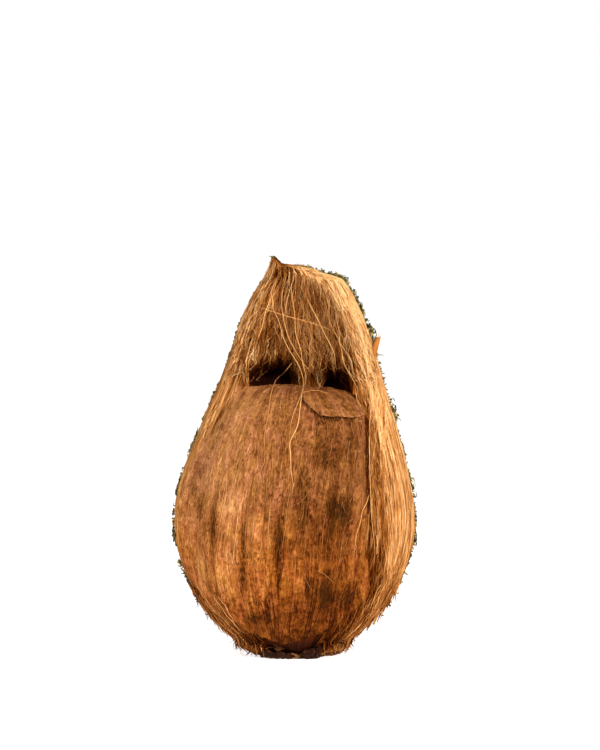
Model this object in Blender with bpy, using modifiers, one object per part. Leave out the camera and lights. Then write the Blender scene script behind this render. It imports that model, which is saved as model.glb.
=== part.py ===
"""A dry coconut with the husk stripped off its front: the husk, the nut inside it and the calyx under it.

Metres, +Z up. The front, where the husk is open, faces -Y, and +X is to the right of it.
The origin is the middle of the flat spot that the coconut stands on.

Every body starts as a UV sphere, whose points are moved by one formula: an angle round the fruit
(0 is to the right, 90 degrees is the back) and a climb from the lower pole to the upper one.
"""

import math
import random

import bmesh
import bpy
from mathutils import Matrix, Vector, noise

# Husk: a teardrop with a leaning tip. A girth is a half-width before the climb narrows it.
HEIGHT = 0.225
GIRTH_LOW = 0.077
GIRTH_HIGH = 0.0475
WAIST_FROM = 0.040
WAIST_TO = 0.180
DEPTH_SHARE = 0.93  # depth behind the middle, as a share of the half-width
KEEL = 0.045  # how far the keel at the back stands out, as a share of the radius
TORN_REACH = 0.024  # how far the torn face stands in front of the middle
CUP_REACH = 0.068  # the same at the base, where the husk still holds the nut like a cup
CUP_FROM = 0.010
CUP_TO = 0.048
HOOD_SHIFT = 0.005  # the hood stands a little to the right
TIP_LEAN = 0.0168  # and its tip leans back to the left
TIP_DROP = 0.0042  # the hood is this much lower just right of the tip
FIBRE_GROOVE = 0.0017
SKIN_EDGE = 0.0016  # how deep the ragged edge of the skin is nicked

# Nut: an egg with a blunt top, where the felt round it ends in a lip.
NUT_WIDE = 0.0520
NUT_DEEP = 0.0500
NUT_MIDDLE = 0.0785
NUT_DOWN = 0.0715
NUT_UP = 0.0800
NUT_LEFT = -0.0080
NUT_SWING = 0.0095  # its axis swings to the right on the way up
NUT_FORWARD = -0.0020
NUT_SHOULDER = 2 / 2.8  # how square it is above its middle, and below it
NUT_FOOT = 2 / 2.55
LIP_HEIGHT = 0.1558
LIP_ROUND = 0.0035
LIP_SLOPE = 0.061  # the lip falls towards the right
LIP_FALL = 0.35  # and the felt falls away behind it
LIP_FRONT = -0.016
NUT_GROOVE = 0.0017
NUT_GAP = 0.0005  # clearance to the husk behind the nut
NUT_GAP_FRONT = 0.0012  # and at the torn edge on the right, where it shows as a dark line

# Hood hollow: a shallow bowl over the nut, with two deep pockets behind the lip.
HOLLOW_LOW = 0.130
HOLLOW_TOP = 0.2195
HOLLOW_WIDE = 0.0310
HOLLOW_TAPER = 0.26
HOLLOW_TAPER_FROM = 0.165
HOLLOW_FLARE = 0.15  # how much wider it opens in front of its rim
HOLLOW_RIM = -0.012  # where the bowl's rim lies, in front of the middle
HOLLOW_DEEP = 0.0210
HOLLOW_FRONT = 0.040
POCKET_DEEP = 0.0200
POCKET_FROM = 0.154
POCKET_TO = 0.1665
POCKET_FALL = 0.004  # how much lower the right pocket's top is
SEPTUM_X = 0.0068
SEPTUM_WIDE = 0.0080

# Calyx: leathery scales under the fruit, round the scar of the stem.
CALYX_GAP = 0.0005
CALYX_THICK = 0.0019
CALYX_DISC_RADIUS = 0.0180
CALYX_FLOOR = 0.0035  # the husk ends this high over the disc's middle
SCALE_COUNT = 6

# Loose fibre
CHIPS_EACH_SIDE = 44
CHIP_ROOT = 0.0022  # how deep a chip is sunk
CHIP_REACH = 0.0040  # and how far the longest one stands out
SLIVER_REACH = 0.0120
STRAND_RADIUS = 0.00055
STRAND_GAP = 0.0006
ROUTE_STEPS = 2

SEED = 20


def smooth(value, low, high):
    """0 below low, 1 above high, and an S between them."""
    t = min(1.0, max(0.0, (value - low) / (high - low)))
    return t * t * (3 - 2 * t)


def bell(value, middle, width):
    return math.exp(-(((value - middle) / width) ** 2))


def streaks(angle, height, count, seed):
    """Longitudinal grooves, from 0 on a ridge to 1 in a groove: narrow round the fruit, long up it."""
    ring = Vector((math.cos(angle) * count, math.sin(angle) * count, height * 14 + seed))
    return min(1.0, abs(noise.noise(ring)) * 2.2)


# ---- the three shapes -------------------------------------------------------------------------


def tip_drop(x, height):
    """How far the hood falls away right of its tip."""
    return TIP_DROP * smooth(x, -0.0115, -0.0060) * smooth(height, 0.2100, 0.2200)


def husk_point(angle, climb, out=0.0):
    """A point of the husk's outside, and `out` metres outside it."""
    height = HEIGHT * (1 + math.sin(climb)) / 2
    narrow = math.cos(climb)
    girth = GIRTH_LOW + (GIRTH_HIGH - GIRTH_LOW) * smooth(height, WAIST_FROM, WAIST_TO)
    side = narrow * girth + out
    if math.sin(angle) > 0:
        depth = side * DEPTH_SHARE * (1 + KEEL * math.cos(3 * (angle - math.pi / 2)))
    else:
        reach = CUP_REACH + (TORN_REACH - CUP_REACH) * smooth(height, CUP_FROM, CUP_TO)
        depth = narrow * reach + out
    lean = TIP_LEAN * max(0.0, 1 - narrow / 0.45) ** 1.3 if climb > 0 else 0.0
    middle = HOOD_SHIFT * smooth(height, 0.08, 0.18) - lean
    x = middle + side * math.cos(angle)
    return Vector((x, depth * math.sin(angle), height - tip_drop(x, height) + out * math.sin(climb)))


def husk_relief(angle, climb):
    """How far the surface is sunk below the husk's outside.

    The torn face has deep fibre grooves, the skin has shallow wrinkles, and the edge between is ragged.
    """
    height = HEIGHT * (1 + math.sin(climb)) / 2
    torn = smooth(-math.sin(angle), 0.02, 0.15) * smooth(height, 0.02, 0.05)
    skin = 0.5 * math.cos(climb) * (1 - torn)
    groove = streaks(angle, height, 7.5, 3) * torn + streaks(angle, height, 3.2, 9) * skin
    ragged = 0.5 + 0.5 * noise.noise(Vector((math.cos(angle) * 3, height * 260, 5)))
    return FIBRE_GROOVE * groove + SKIN_EDGE * ragged * bell(math.sin(angle), 0.0, 0.12) * math.cos(climb)


def nut_point(angle, climb, out=0.0):
    """A point of the nut's felt, and `out` metres outside it."""
    rise, narrow = math.sin(climb), abs(math.cos(climb))
    tall, power = (NUT_UP, NUT_SHOULDER) if rise > 0 else (NUT_DOWN, NUT_FOOT)
    height = NUT_MIDDLE + (tall + out) * math.copysign(abs(rise) ** power, rise)
    across = narrow**power
    middle = NUT_LEFT + NUT_SWING * smooth(height, 0.06, 0.15)
    x = middle + (NUT_WIDE + out) * across * math.cos(angle)
    y = (NUT_DEEP + out) * across * math.sin(angle)
    y += NUT_FORWARD
    # The egg is pressed flat at the lip, and falls away behind it.
    ceiling = LIP_HEIGHT + out - LIP_SLOPE * (x - NUT_LEFT) - LIP_FALL * max(0.0, y - LIP_FRONT)
    over = (height - ceiling) / LIP_ROUND
    if over > -4:
        height = ceiling - LIP_ROUND * math.log1p(math.exp(-over))
    return Vector((x, y, height))


def nut_relief(angle, climb):
    """How far the felt is sunk: smooth near the lip, and grooved along the nut lower down."""
    height = NUT_MIDDLE + NUT_UP * math.sin(climb)
    shown = smooth(-math.sin(angle), 0.0, 0.2)
    ridged = 0.2 + 0.8 * smooth(-height, -0.125, -0.085)
    return NUT_GROOVE * shown * ridged * streaks(angle, height * 0.5, 5.5, 21) * math.cos(climb)


def nut_room_point(angle, climb):
    front = smooth(-math.sin(angle), -0.1, 0.3) * smooth(math.cos(angle), -0.2, 0.5)
    return nut_point(angle, climb, NUT_GAP + (NUT_GAP_FRONT - NUT_GAP) * front)


def hollow_point(angle, climb):
    height = HOLLOW_LOW + (HOLLOW_TOP - HOLLOW_LOW) * (1 + math.sin(climb)) / 2
    narrow = math.cos(climb)
    wide = max(0.0, narrow) ** 0.5 * (HOLLOW_WIDE - HOLLOW_TAPER * max(0.0, height - HOLLOW_TAPER_FROM))
    wide *= 1 - 0.07 * streaks(angle, height, 5.0, 40)
    middle = 0.0045 + 0.0012 * smooth(height, 0.160, 0.185) - 0.0065 * smooth(height, 0.195, HOLLOW_TOP)
    across, behind = math.cos(angle), math.sin(angle)
    if behind > 0:
        x = middle + wide * across
        top = POCKET_TO - POCKET_FALL * smooth(x, 0.0, 0.015)
        pocket = POCKET_DEEP * (1 - smooth(height, top - (POCKET_TO - POCKET_FROM), top))
        pocket *= (1 - bell(x, SEPTUM_X, SEPTUM_WIDE)) * smooth(behind, 0.25, 0.70)
        bowl = HOLLOW_DEEP * (1 - 0.12 * streaks(angle, height, 6.0, 31))
        y = HOLLOW_RIM + bowl * max(0.0, narrow) ** 0.7 * behind**1.6 + pocket
    else:
        x = middle + wide * math.copysign(math.sqrt(abs(across)), across) * (1 - HOLLOW_FLARE * behind)
        y = HOLLOW_RIM + HOLLOW_FRONT * narrow * behind
    return Vector((x, y, height - tip_drop(x, height)))


# ---- making bodies ----------------------------------------------------------------------------


def new_collection(name):
    made = bpy.data.collections.new(name)
    bpy.context.scene.collection.children.link(made)
    return made


def new_material(name, colour, roughness):
    made = bpy.data.materials.new(name)
    made.use_nodes = True
    shader = made.node_tree.nodes["Principled BSDF"]
    shader.inputs["Base Color"].default_value = (*colour, 1)
    shader.inputs["Roughness"].default_value = roughness
    return made


def add_mesh(name, bm, collection, material=None):
    """Makes a closed bmesh, or an open one whose faces already look outwards, an object."""
    mesh = bpy.data.meshes.new(name)
    if all(edge.is_manifold for edge in bm.edges):
        bmesh.ops.recalc_face_normals(bm, faces=bm.faces)
    bm.to_mesh(mesh)
    bm.free()
    obj = bpy.data.objects.new(name, mesh)
    if material:
        mesh.materials.append(material)
        mesh.shade_smooth()
    collection.objects.link(obj)
    return obj


def shaped_sphere(name, round_count, climb_count, point, collection, material=None, crowd=0.0):
    """A UV sphere whose points are moved to point(angle, climb). Crowd packs its meridians at the sides."""
    bm = bmesh.new()
    bmesh.ops.create_uvsphere(bm, u_segments=round_count, v_segments=climb_count, radius=1)
    for vert in bm.verts:
        angle = math.atan2(vert.co.y, vert.co.x)
        angle -= crowd * math.sin(2 * angle)
        climb = math.asin(max(-1.0, min(1.0, vert.co.z)))
        vert.co = point(angle, climb)
    return add_mesh(name, bm, collection, material)


def boolean(obj, operation, other, solver="EXACT"):
    """Applies a Boolean with an object or a whole collection, whose objects are then removed."""
    modifier = obj.modifiers.new(operation.lower(), "BOOLEAN")
    modifier.operation = operation
    modifier.solver = solver
    if isinstance(other, bpy.types.Collection):
        modifier.operand_type = "COLLECTION"
        modifier.collection = other
        used = list(other.objects)
    else:
        modifier.object = other
        used = [other]
    bpy.context.view_layer.update()
    graph = bpy.context.evaluated_depsgraph_get()
    joined = bpy.data.meshes.new_from_object(obj.evaluated_get(graph))
    obj.modifiers.clear()
    obj.data = joined
    for done in used:
        bpy.data.objects.remove(done)


def drop_scraps(obj):
    """Deletes any crumb that a cut has freed, and keeps the largest island of faces."""
    bm = bmesh.new()
    bm.from_mesh(obj.data)
    islands = []
    unseen = set(bm.verts)
    while unseen:
        edge_of_island = [unseen.pop()]
        island = set(edge_of_island)
        while edge_of_island:
            vert = edge_of_island.pop()
            near = {edge.other_vert(vert) for edge in vert.link_edges} - island
            island |= near
            unseen -= near
            edge_of_island.extend(near)
        islands.append(island)
    kept = max(islands, key=len)
    loose = [vert for island in islands if island is not kept for vert in island]
    bmesh.ops.delete(bm, geom=loose, context="VERTS")
    bm.to_mesh(obj.data)
    bm.free()


def floor_cutter(name, height, collection):
    """A block under the given height."""
    bm = bmesh.new()
    bmesh.ops.create_cube(bm, size=1, matrix=Matrix.Translation((0, 0, height - 0.5)))
    return add_mesh(name, bm, collection)


# ---- loose fibre ------------------------------------------------------------------------------


def add_chip(root, direction, reach, radius, collection):
    """A three-sided chip of skin, wider than thick, with its root sunk in the husk."""
    length = CHIP_ROOT + reach
    bm = bmesh.new()
    bmesh.ops.create_cone(
        bm, cap_ends=True, segments=3, radius1=radius, radius2=radius * 0.35, depth=length
    )
    bmesh.ops.scale(bm, vec=(1.5, 0.6, 1), verts=bm.verts)
    turn = direction.to_track_quat("Z", "X").to_matrix().to_4x4()
    middle = Matrix.Translation(root + direction * (length / 2 - CHIP_ROOT))
    bmesh.ops.transform(bm, matrix=middle @ turn, verts=bm.verts)
    return add_mesh("chip", bm, collection)


def add_edge_chip(angle, climb, out_share, lean, reach, radius, collection):
    """A chip at one place of the skin's edge, leaning along it: up where lean is over 0."""
    root = husk_point(angle, climb, -SKIN_EDGE / 2)
    out = (husk_point(angle, climb, 0.001) - root).normalized()
    along = (husk_point(angle, climb + 0.02) - root).normalized()
    add_chip(root, (out * out_share + along * lean).normalized(), reach, radius, collection)


def fringe(collection, draw):
    """Ragged chips along both edges of the skin, and one long sliver that has sprung off the hood."""
    for side in (0.0, math.pi):
        for k in range(CHIPS_EACH_SIDE):
            climb = math.radians(-50 + 128 * (k + draw.uniform(0.1, 0.9)) / CHIPS_EACH_SIDE)
            angle = side + draw.uniform(-0.10, 0.12) * math.cos(side)
            lean = draw.uniform(0.3, 1.2) * (1 if climb > -0.25 else -1)
            reach = CHIP_REACH * draw.uniform(0.35, 1.0)
            add_edge_chip(
                angle, climb, draw.uniform(0.35, 0.8), lean, reach, draw.uniform(0.0010, 0.0019), collection
            )
    add_edge_chip(0.0, math.radians(28), 0.30, 1.0, SLIVER_REACH, 0.0013, collection)


def surface_in_front(x, z, bodies, gap):
    """How far forward a fibre lies that hugs these bodies at (x, z)."""
    found = []
    for body in bodies:
        hit, place, _, _ = body.ray_cast(Vector((x, -1, z)), Vector((0, 1, 0)))
        if hit:
            found.append(place.y)
    return min(found) - gap if found else None


def pushed_clear(place, body, gap):
    """The point, moved straight away from the body where it is nearer than gap or inside."""
    _, near, normal, _ = body.closest_point_on_mesh(place)
    return near + normal * gap if (place - near).dot(normal) < gap else place


def laid_clear(route, body, gap):
    """The route kept gap off the body, with a point more wherever a straight run would cut into it."""
    route = [pushed_clear(place, body, gap) for place in route]
    for _ in range(2):
        finer = [route[0]]
        for start, end in zip(route, route[1:]):
            middle = (start + end) / 2
            clear = pushed_clear(middle, body, gap)
            if clear != middle:
                finer.append(clear)
            finer.append(end)
        route = finer
    return route


# Each strand is rooted in the hood and falls over the lip: (x, z, how far it stands off what is behind it).
# A stand-off of None sinks the point in the husk.
STRANDS = (
    ((-0.003, 0.2125, None), (0.000, 0.198, 0.004), (0.001, 0.180, 0.012), (0.004, 0.165, 0.015),
     (0.0065, 0.153, 0.001), (0.005, 0.144, 0), (0.001, 0.135, 0), (-0.002, 0.126, 0),
     (-0.003, 0.114, 0), (-0.002, 0.104, 0), (-0.001, 0.096, 0)),
    ((-0.006, 0.2110, None), (-0.009, 0.196, 0.004), (-0.006, 0.180, 0.009), (0.000, 0.168, 0.012),
     (-0.003, 0.158, 0.016), (-0.012, 0.1515, 0.002), (-0.014, 0.142, 0), (-0.0155, 0.130, 0),
     (-0.016, 0.118, 0), (-0.0155, 0.108, 0)),
    ((0.002, 0.2120, None), (0.006, 0.198, 0.003), (0.005, 0.182, 0.010), (0.006, 0.166, 0.014),
     (0.008, 0.153, 0.001), (0.006, 0.146, 0), (-0.001, 0.138, 0), (-0.0045, 0.129, 0),
     (-0.005, 0.120, 0)),
    ((0.012, 0.2060, None), (0.017, 0.192, 0.003), (0.022, 0.178, 0.008), (0.028, 0.164, 0.009),
     (0.033, 0.152, None)),
    ((-0.012, 0.2020, None), (-0.015, 0.188, 0.004), (-0.018, 0.172, 0.005), (-0.024, 0.158, None)),
    ((-0.024, 0.1900, None), (-0.012, 0.186, 0.012), (0.004, 0.181, 0.014), (0.018, 0.174, 0.010),
     (0.030, 0.170, None)),
    ((0.045, 0.1500, None), (0.0435, 0.140, 0.001), (0.0430, 0.120, 0.001), (0.0440, 0.100, 0.001),
     (0.0445, 0.080, 0.001), (0.0450, 0.062, 0.001), (0.0435, 0.046, None)),
    ((0.047, 0.1440, None), (0.0500, 0.128, 0.001), (0.0510, 0.110, 0.001), (0.0500, 0.092, 0.001),
     (0.0475, 0.074, 0.001), (0.0450, 0.056, None)),
)


def smooth_route(points, steps):
    """Points along a Catmull-Rom curve through the given ones."""
    padded = [points[0] * 2 - points[1], *points, points[-1] * 2 - points[-2]]
    route = []
    for a, b, c, d in zip(padded, padded[1:], padded[2:], padded[3:]):
        for k in range(steps):
            t = k / steps
            bend = (a * 2 - b * 5 + c * 4 - d) * t**2 + (b * 3 - a - c * 3 + d) * t**3
            route.append((b * 2 + (c - a) * t + bend) / 2)
    return [*route, points[-1]]


def add_strand(stations, husk, nut, collection):
    """A long fibre: laid in front of the husk and the nut, then swept as a thin tube."""
    gap = STRAND_RADIUS + STRAND_GAP
    points = []
    for x, z, stand_off in stations:
        if stand_off is None:
            y = surface_in_front(x, z, [husk], -0.0025)
        else:
            y = surface_in_front(x, z, [husk, nut], gap + stand_off)
        points.append(Vector((x, y, z)))
    route = laid_clear(smooth_route(points, ROUTE_STEPS), nut, gap)
    curve = bpy.data.curves.new("strand", "CURVE")
    curve.dimensions = "3D"
    curve.bevel_depth = STRAND_RADIUS
    curve.bevel_resolution = 0
    curve.use_fill_caps = True
    spline = curve.splines.new("POLY")
    spline.points.add(len(route) - 1)
    for point, place in zip(spline.points, route):
        point.co = (*place, 1)
    wire = bpy.data.objects.new("strand_line", curve)
    collection.objects.link(wire)
    bpy.context.view_layer.update()
    mesh = bpy.data.meshes.new_from_object(wire.evaluated_get(bpy.context.evaluated_depsgraph_get()))
    bpy.data.objects.remove(wire)
    bm = bmesh.new()
    bm.from_mesh(mesh)
    bmesh.ops.remove_doubles(bm, verts=bm.verts, dist=1e-6)
    bpy.data.meshes.remove(mesh)
    return add_mesh("strand", bm, collection)


# ---- the three nodes --------------------------------------------------------------------------


def make_nut(parts, material):
    def surface(angle, climb):
        return nut_point(angle, climb, -nut_relief(angle, climb))

    return shaped_sphere("nut", 56, 28, surface, parts, material, crowd=-0.12)


def make_husk(parts, cutters, material, nut, draw):
    def surface(angle, climb):
        return husk_point(angle, climb, -husk_relief(angle, climb))

    husk = shaped_sphere("husk", 64, 40, surface, parts, material, crowd=0.22)
    room = shaped_sphere("nut_room", 56, 28, nut_room_point, cutters, crowd=-0.12)
    hollow = shaped_sphere("hood_hollow", 36, 20, hollow_point, cutters)
    chips = new_collection("chips")
    fringe(chips, draw)
    boolean(husk, "UNION", chips, "MANIFOLD")
    boolean(husk, "DIFFERENCE", room)
    boolean(husk, "DIFFERENCE", hollow)
    boolean(husk, "DIFFERENCE", floor_cutter("base_cut", CALYX_FLOOR, cutters))
    strands = new_collection("strands")
    for stations in STRANDS:
        add_strand(stations, husk, nut, strands)
    boolean(husk, "UNION", strands, "MANIFOLD")
    drop_scraps(husk)
    bpy.data.collections.remove(chips)
    bpy.data.collections.remove(strands)


def add_scale(index, cutters, draw):
    """One rounded scale that hugs the underside of the husk."""
    inner = index % 2
    middle = math.radians(-52 + 59 * index + draw.uniform(-3, 3))
    half_angle = math.radians(32 - 3 * inner)
    lowest = math.radians(-82)
    highest = math.radians(-66 + draw.uniform(-3, 2) - 2 * inner)
    bm = bmesh.new()
    bmesh.ops.create_grid(bm, x_segments=8, y_segments=6, size=1)
    gap = CALYX_GAP + 0.0009 * inner
    for vert in bm.verts:
        across, up = vert.co.x, (vert.co.y + 1) / 2
        rounded = highest - (highest - lowest) * 0.55 * abs(across) ** 2.6
        climb = lowest + (rounded - lowest) * up
        vert.co = husk_point(middle + half_angle * across, climb, gap + 0.0007 * up * abs(across))
    scale = add_mesh("scale", bm, cutters)
    thick = scale.modifiers.new("thick", "SOLIDIFY")
    thick.thickness = CALYX_THICK
    thick.offset = 1
    return scale


def make_calyx(parts, cutters, material, draw):
    bm = bmesh.new()
    bmesh.ops.create_cone(
        bm, cap_ends=True, segments=36, radius1=CALYX_DISC_RADIUS, radius2=CALYX_DISC_RADIUS,
        depth=CALYX_FLOOR - CALYX_GAP,
        matrix=Matrix.Translation((0, 0, (CALYX_FLOOR - CALYX_GAP) / 2)),
    )
    calyx = add_mesh("calyx", bm, parts, material)
    scales = new_collection("scales")
    for index in range(SCALE_COUNT):
        add_scale(index, scales, draw)
    boolean(calyx, "UNION", scales, "MANIFOLD")
    bpy.data.collections.remove(scales)
    boolean(calyx, "DIFFERENCE", floor_cutter("floor_cut", 0.0, cutters))


def main():
    for obj in list(bpy.data.objects):
        bpy.data.objects.remove(obj)
    draw = random.Random(SEED)
    parts = new_collection("coconut")
    cutters = new_collection("cutters")
    husk_material = new_material("husk_fibre", (0.50, 0.22, 0.07), 0.85)
    nut_material = new_material("nut_felt", (0.30, 0.115, 0.033), 0.8)
    calyx_material = new_material("calyx_scale", (0.040, 0.014, 0.006), 0.6)
    nut = make_nut(parts, nut_material)
    make_husk(parts, cutters, husk_material, nut, draw)
    make_calyx(parts, cutters, calyx_material, draw)


main()
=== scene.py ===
"""The looks of a dry coconut whose husk is stripped off its front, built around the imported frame.

Metres, +Z up, the front towards -Y, as in the frame. The husk, the nut and the calyx are made again as finer
surfaces of the same form, and then covered with loose fibre: tapered tubes laid along each surface.

Every surface point carries values that the materials read: `flow` (a distance round the fruit and a height,
so that patterns run along the fibres), `tone` (0 dark to 1 pale), `stain` (0 clean to 1 black) and `skin`
(0 on torn fibre to 1 on the dry skin behind).
"""

import math

import bmesh
import bpy
import numpy as np
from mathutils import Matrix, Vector, noise
from mathutils.bvhtree import BVHTree


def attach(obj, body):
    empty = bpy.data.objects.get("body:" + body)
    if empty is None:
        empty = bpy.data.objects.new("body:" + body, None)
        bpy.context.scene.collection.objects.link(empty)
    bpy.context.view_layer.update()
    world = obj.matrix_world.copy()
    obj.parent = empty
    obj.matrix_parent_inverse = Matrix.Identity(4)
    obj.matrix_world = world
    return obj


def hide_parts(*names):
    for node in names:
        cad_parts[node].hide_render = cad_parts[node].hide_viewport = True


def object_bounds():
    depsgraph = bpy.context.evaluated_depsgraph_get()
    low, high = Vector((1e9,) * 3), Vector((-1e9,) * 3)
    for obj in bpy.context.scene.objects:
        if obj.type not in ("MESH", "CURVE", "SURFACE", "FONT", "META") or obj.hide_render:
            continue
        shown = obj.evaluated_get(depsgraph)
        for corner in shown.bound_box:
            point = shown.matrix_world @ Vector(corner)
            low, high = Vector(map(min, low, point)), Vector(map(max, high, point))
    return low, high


SEED = 20

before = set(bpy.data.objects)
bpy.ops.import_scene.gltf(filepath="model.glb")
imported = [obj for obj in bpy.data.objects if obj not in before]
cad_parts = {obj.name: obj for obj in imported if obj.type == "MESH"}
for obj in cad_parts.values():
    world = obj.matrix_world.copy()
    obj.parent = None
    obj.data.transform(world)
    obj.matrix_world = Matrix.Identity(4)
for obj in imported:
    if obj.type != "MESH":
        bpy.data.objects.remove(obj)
CAD_LOW, CAD_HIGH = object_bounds()
FRAME_MARGIN = 0.0001  # how far inside the frame's box all added points stay

# ---- the form, with the same driving sizes as the frame ----------------------------------------

HEIGHT = CAD_HIGH.z
GIRTH_LOW = 0.077  # the husk's greatest half-width below its waist, and above it
GIRTH_HIGH = 0.0475
WAIST_FROM = 0.040
WAIST_TO = 0.180
DEPTH_SHARE = 0.93  # the husk's depth behind, as a share of its half-width
KEEL = 0.045
TORN_REACH = 0.024  # how far forward the torn face comes, and the cup under the nut
CUP_REACH = 0.068
CUP_FROM = 0.010
CUP_TO = 0.048
HOOD_SHIFT = 0.005
TIP_LEAN = 0.0168
TIP_DROP = 0.0042  # how far the hood falls away right of its tip

NUT_WIDE = 0.0520
NUT_DEEP = 0.0500
NUT_MIDDLE = 0.0785
NUT_DOWN = 0.0715
NUT_UP = 0.0800
NUT_LEFT = -0.0080
NUT_SWING = 0.0095  # how far the nut's upper half swings to the right
NUT_FORWARD = -0.0020
NUT_SHOULDER = 2 / 2.8  # how square the nut is above its middle, and below it
NUT_FOOT = 2 / 2.55
LIP_HEIGHT = 0.1558  # where the nut's top is pressed flat, and how that falls to the right and to the back
LIP_ROUND = 0.0035
LIP_SLOPE = 0.061
LIP_FALL = 0.35
LIP_FRONT = -0.016
NUT_GAP = 0.0005
NUT_GAP_FRONT = 0.0012

HOLLOW_LOW = 0.130
HOLLOW_TOP = 0.2195
HOLLOW_WIDE = 0.0310
HOLLOW_TAPER = 0.26
HOLLOW_TAPER_FROM = 0.165
HOLLOW_FLARE = 0.15
HOLLOW_RIM = -0.012
HOLLOW_DEEP = 0.0210
HOLLOW_FRONT = 0.040
POCKET_DEEP = 0.0200
POCKET_FROM = 0.154
POCKET_TO = 0.1665
POCKET_FALL = 0.004
SEPTUM_X = 0.0068
SEPTUM_WIDE = 0.0080

CALYX_GAP = 0.0005
CALYX_FLOOR = 0.0035  # how high the husk's flat underside is, on the calyx

FIBRE_POINTS = 8  # points along each fibre
FRONT = -math.pi / 2  # the angle round the fruit that faces the front


def smooth(value, low, high):
    """0 below low, 1 above high, and an S between them."""
    t = np.clip((value - low) / (high - low), 0, 1)
    return t * t * (3 - 2 * t)


def bell(value, middle, width):
    """1 at the middle, and nearly 0 two widths from it."""
    return np.exp(-(((value - middle) / width) ** 2))


def field(points):
    """Smooth noise, about -1 to 1, at each row of points."""
    return np.array([noise.noise(point) for point in points.tolist()])


def streaks(angle, height, count, seed, stretch=14):
    """Grooves along the fruit, from 0 on a ridge to 1 in a groove."""
    ring = np.stack([np.cos(angle) * count, np.sin(angle) * count, height * stretch + seed], -1)
    return np.minimum(1, np.abs(field(ring)) * 2.2)


def husk_middle(height, lean=0.0):
    """The x of the husk's middle."""
    return HOOD_SHIFT * smooth(height, 0.08, 0.18) - lean


def tip_drop(x, height):
    """How much lower a place is, right of the tip."""
    return TIP_DROP * smooth(x, -0.0115, -0.0060) * smooth(height, 0.2100, 0.2200)


def husk_points(angle, climb, out=0.0):
    """Points of the husk's outside, and `out` metres outside it."""
    height = HEIGHT * (1 + np.sin(climb)) / 2
    narrow = np.cos(climb)
    girth = GIRTH_LOW + (GIRTH_HIGH - GIRTH_LOW) * smooth(height, WAIST_FROM, WAIST_TO)
    side = narrow * girth + out
    behind = side * DEPTH_SHARE * (1 + KEEL * np.cos(3 * (angle - math.pi / 2)))
    reach = CUP_REACH + (TORN_REACH - CUP_REACH) * smooth(height, CUP_FROM, CUP_TO)
    depth = np.where(np.sin(angle) > 0, behind, narrow * reach + out)
    lean = np.where(climb > 0, TIP_LEAN * np.maximum(0, 1 - narrow / 0.45) ** 1.3, 0)
    x = husk_middle(height, lean) + side * np.cos(angle)
    height = height - tip_drop(x, height) + out * np.sin(climb)
    return np.stack([x, depth * np.sin(angle), height], -1)


def husk_relief(angle, climb):
    """How far the surface is sunk: fibre grooves on the torn face, and shallow wrinkles on the skin."""
    height = HEIGHT * (1 + np.sin(climb)) / 2
    torn = smooth(-np.sin(angle), 0.02, 0.15) * smooth(height, 0.02, 0.05)
    skin = np.cos(climb) * (1 - torn)
    coarse = streaks(angle, height, 7.5, 3)
    fine = streaks(angle, height, 26, 4, 30)
    wrinkle = 0.5 * streaks(angle, height, 3.2, 9) + 0.16 * streaks(angle, height, 12, 10, 45)
    ragged = 0.5 + 0.5 * field(np.stack([np.cos(angle) * 3, height * 260, angle * 0 + 5], -1))
    edge = 0.0016 * ragged * bell(np.sin(angle), 0.0, 0.12) * np.cos(climb)
    return 0.0017 * (0.75 * coarse + 0.35 * fine) * torn + 0.0012 * wrinkle * skin + edge


def nut_points(angle, climb, out=0.0):
    """Points of the nut's felt, and `out` metres outside it."""
    rise, narrow = np.sin(climb), np.abs(np.cos(climb))
    upper = rise > 0
    tall = np.where(upper, NUT_UP, NUT_DOWN) + out
    power = np.where(upper, NUT_SHOULDER, NUT_FOOT)
    height = NUT_MIDDLE + tall * np.sign(rise) * np.abs(rise) ** power
    across = narrow**power
    x = NUT_LEFT + NUT_SWING * smooth(height, 0.06, 0.15) + (NUT_WIDE + out) * across * np.cos(angle)
    y = (NUT_DEEP + out) * across * np.sin(angle) + NUT_FORWARD
    ceiling = LIP_HEIGHT + out - LIP_SLOPE * (x - NUT_LEFT) - LIP_FALL * np.maximum(0, y - LIP_FRONT)
    over = np.clip((height - ceiling) / LIP_ROUND, -30, 30)
    pressed = ceiling - LIP_ROUND * np.log1p(np.exp(-over))
    return np.stack([x, y, np.where(over > -4, pressed, height)], -1)


def nut_relief(angle, climb):
    """How far the felt is sunk: smooth near the lip, and grooved along the nut lower down."""
    height = NUT_MIDDLE + NUT_UP * np.sin(climb)
    shown = smooth(-np.sin(angle), 0.0, 0.2)
    ridged = 0.2 + 0.8 * smooth(-height, -0.125, -0.085)
    coarse = streaks(angle, height * 0.5, 5.5, 21)
    fine = streaks(angle, height, 24, 22, 26)
    return (0.0017 * shown * ridged * coarse + 0.0004 * fine) * np.cos(climb)


def room_points(angle, climb):
    """The room in the husk that the nut lies in."""
    front = smooth(-np.sin(angle), -0.1, 0.3) * smooth(np.cos(angle), -0.2, 0.5)
    return nut_points(angle, climb, NUT_GAP + (NUT_GAP_FRONT - NUT_GAP) * front)


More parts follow.
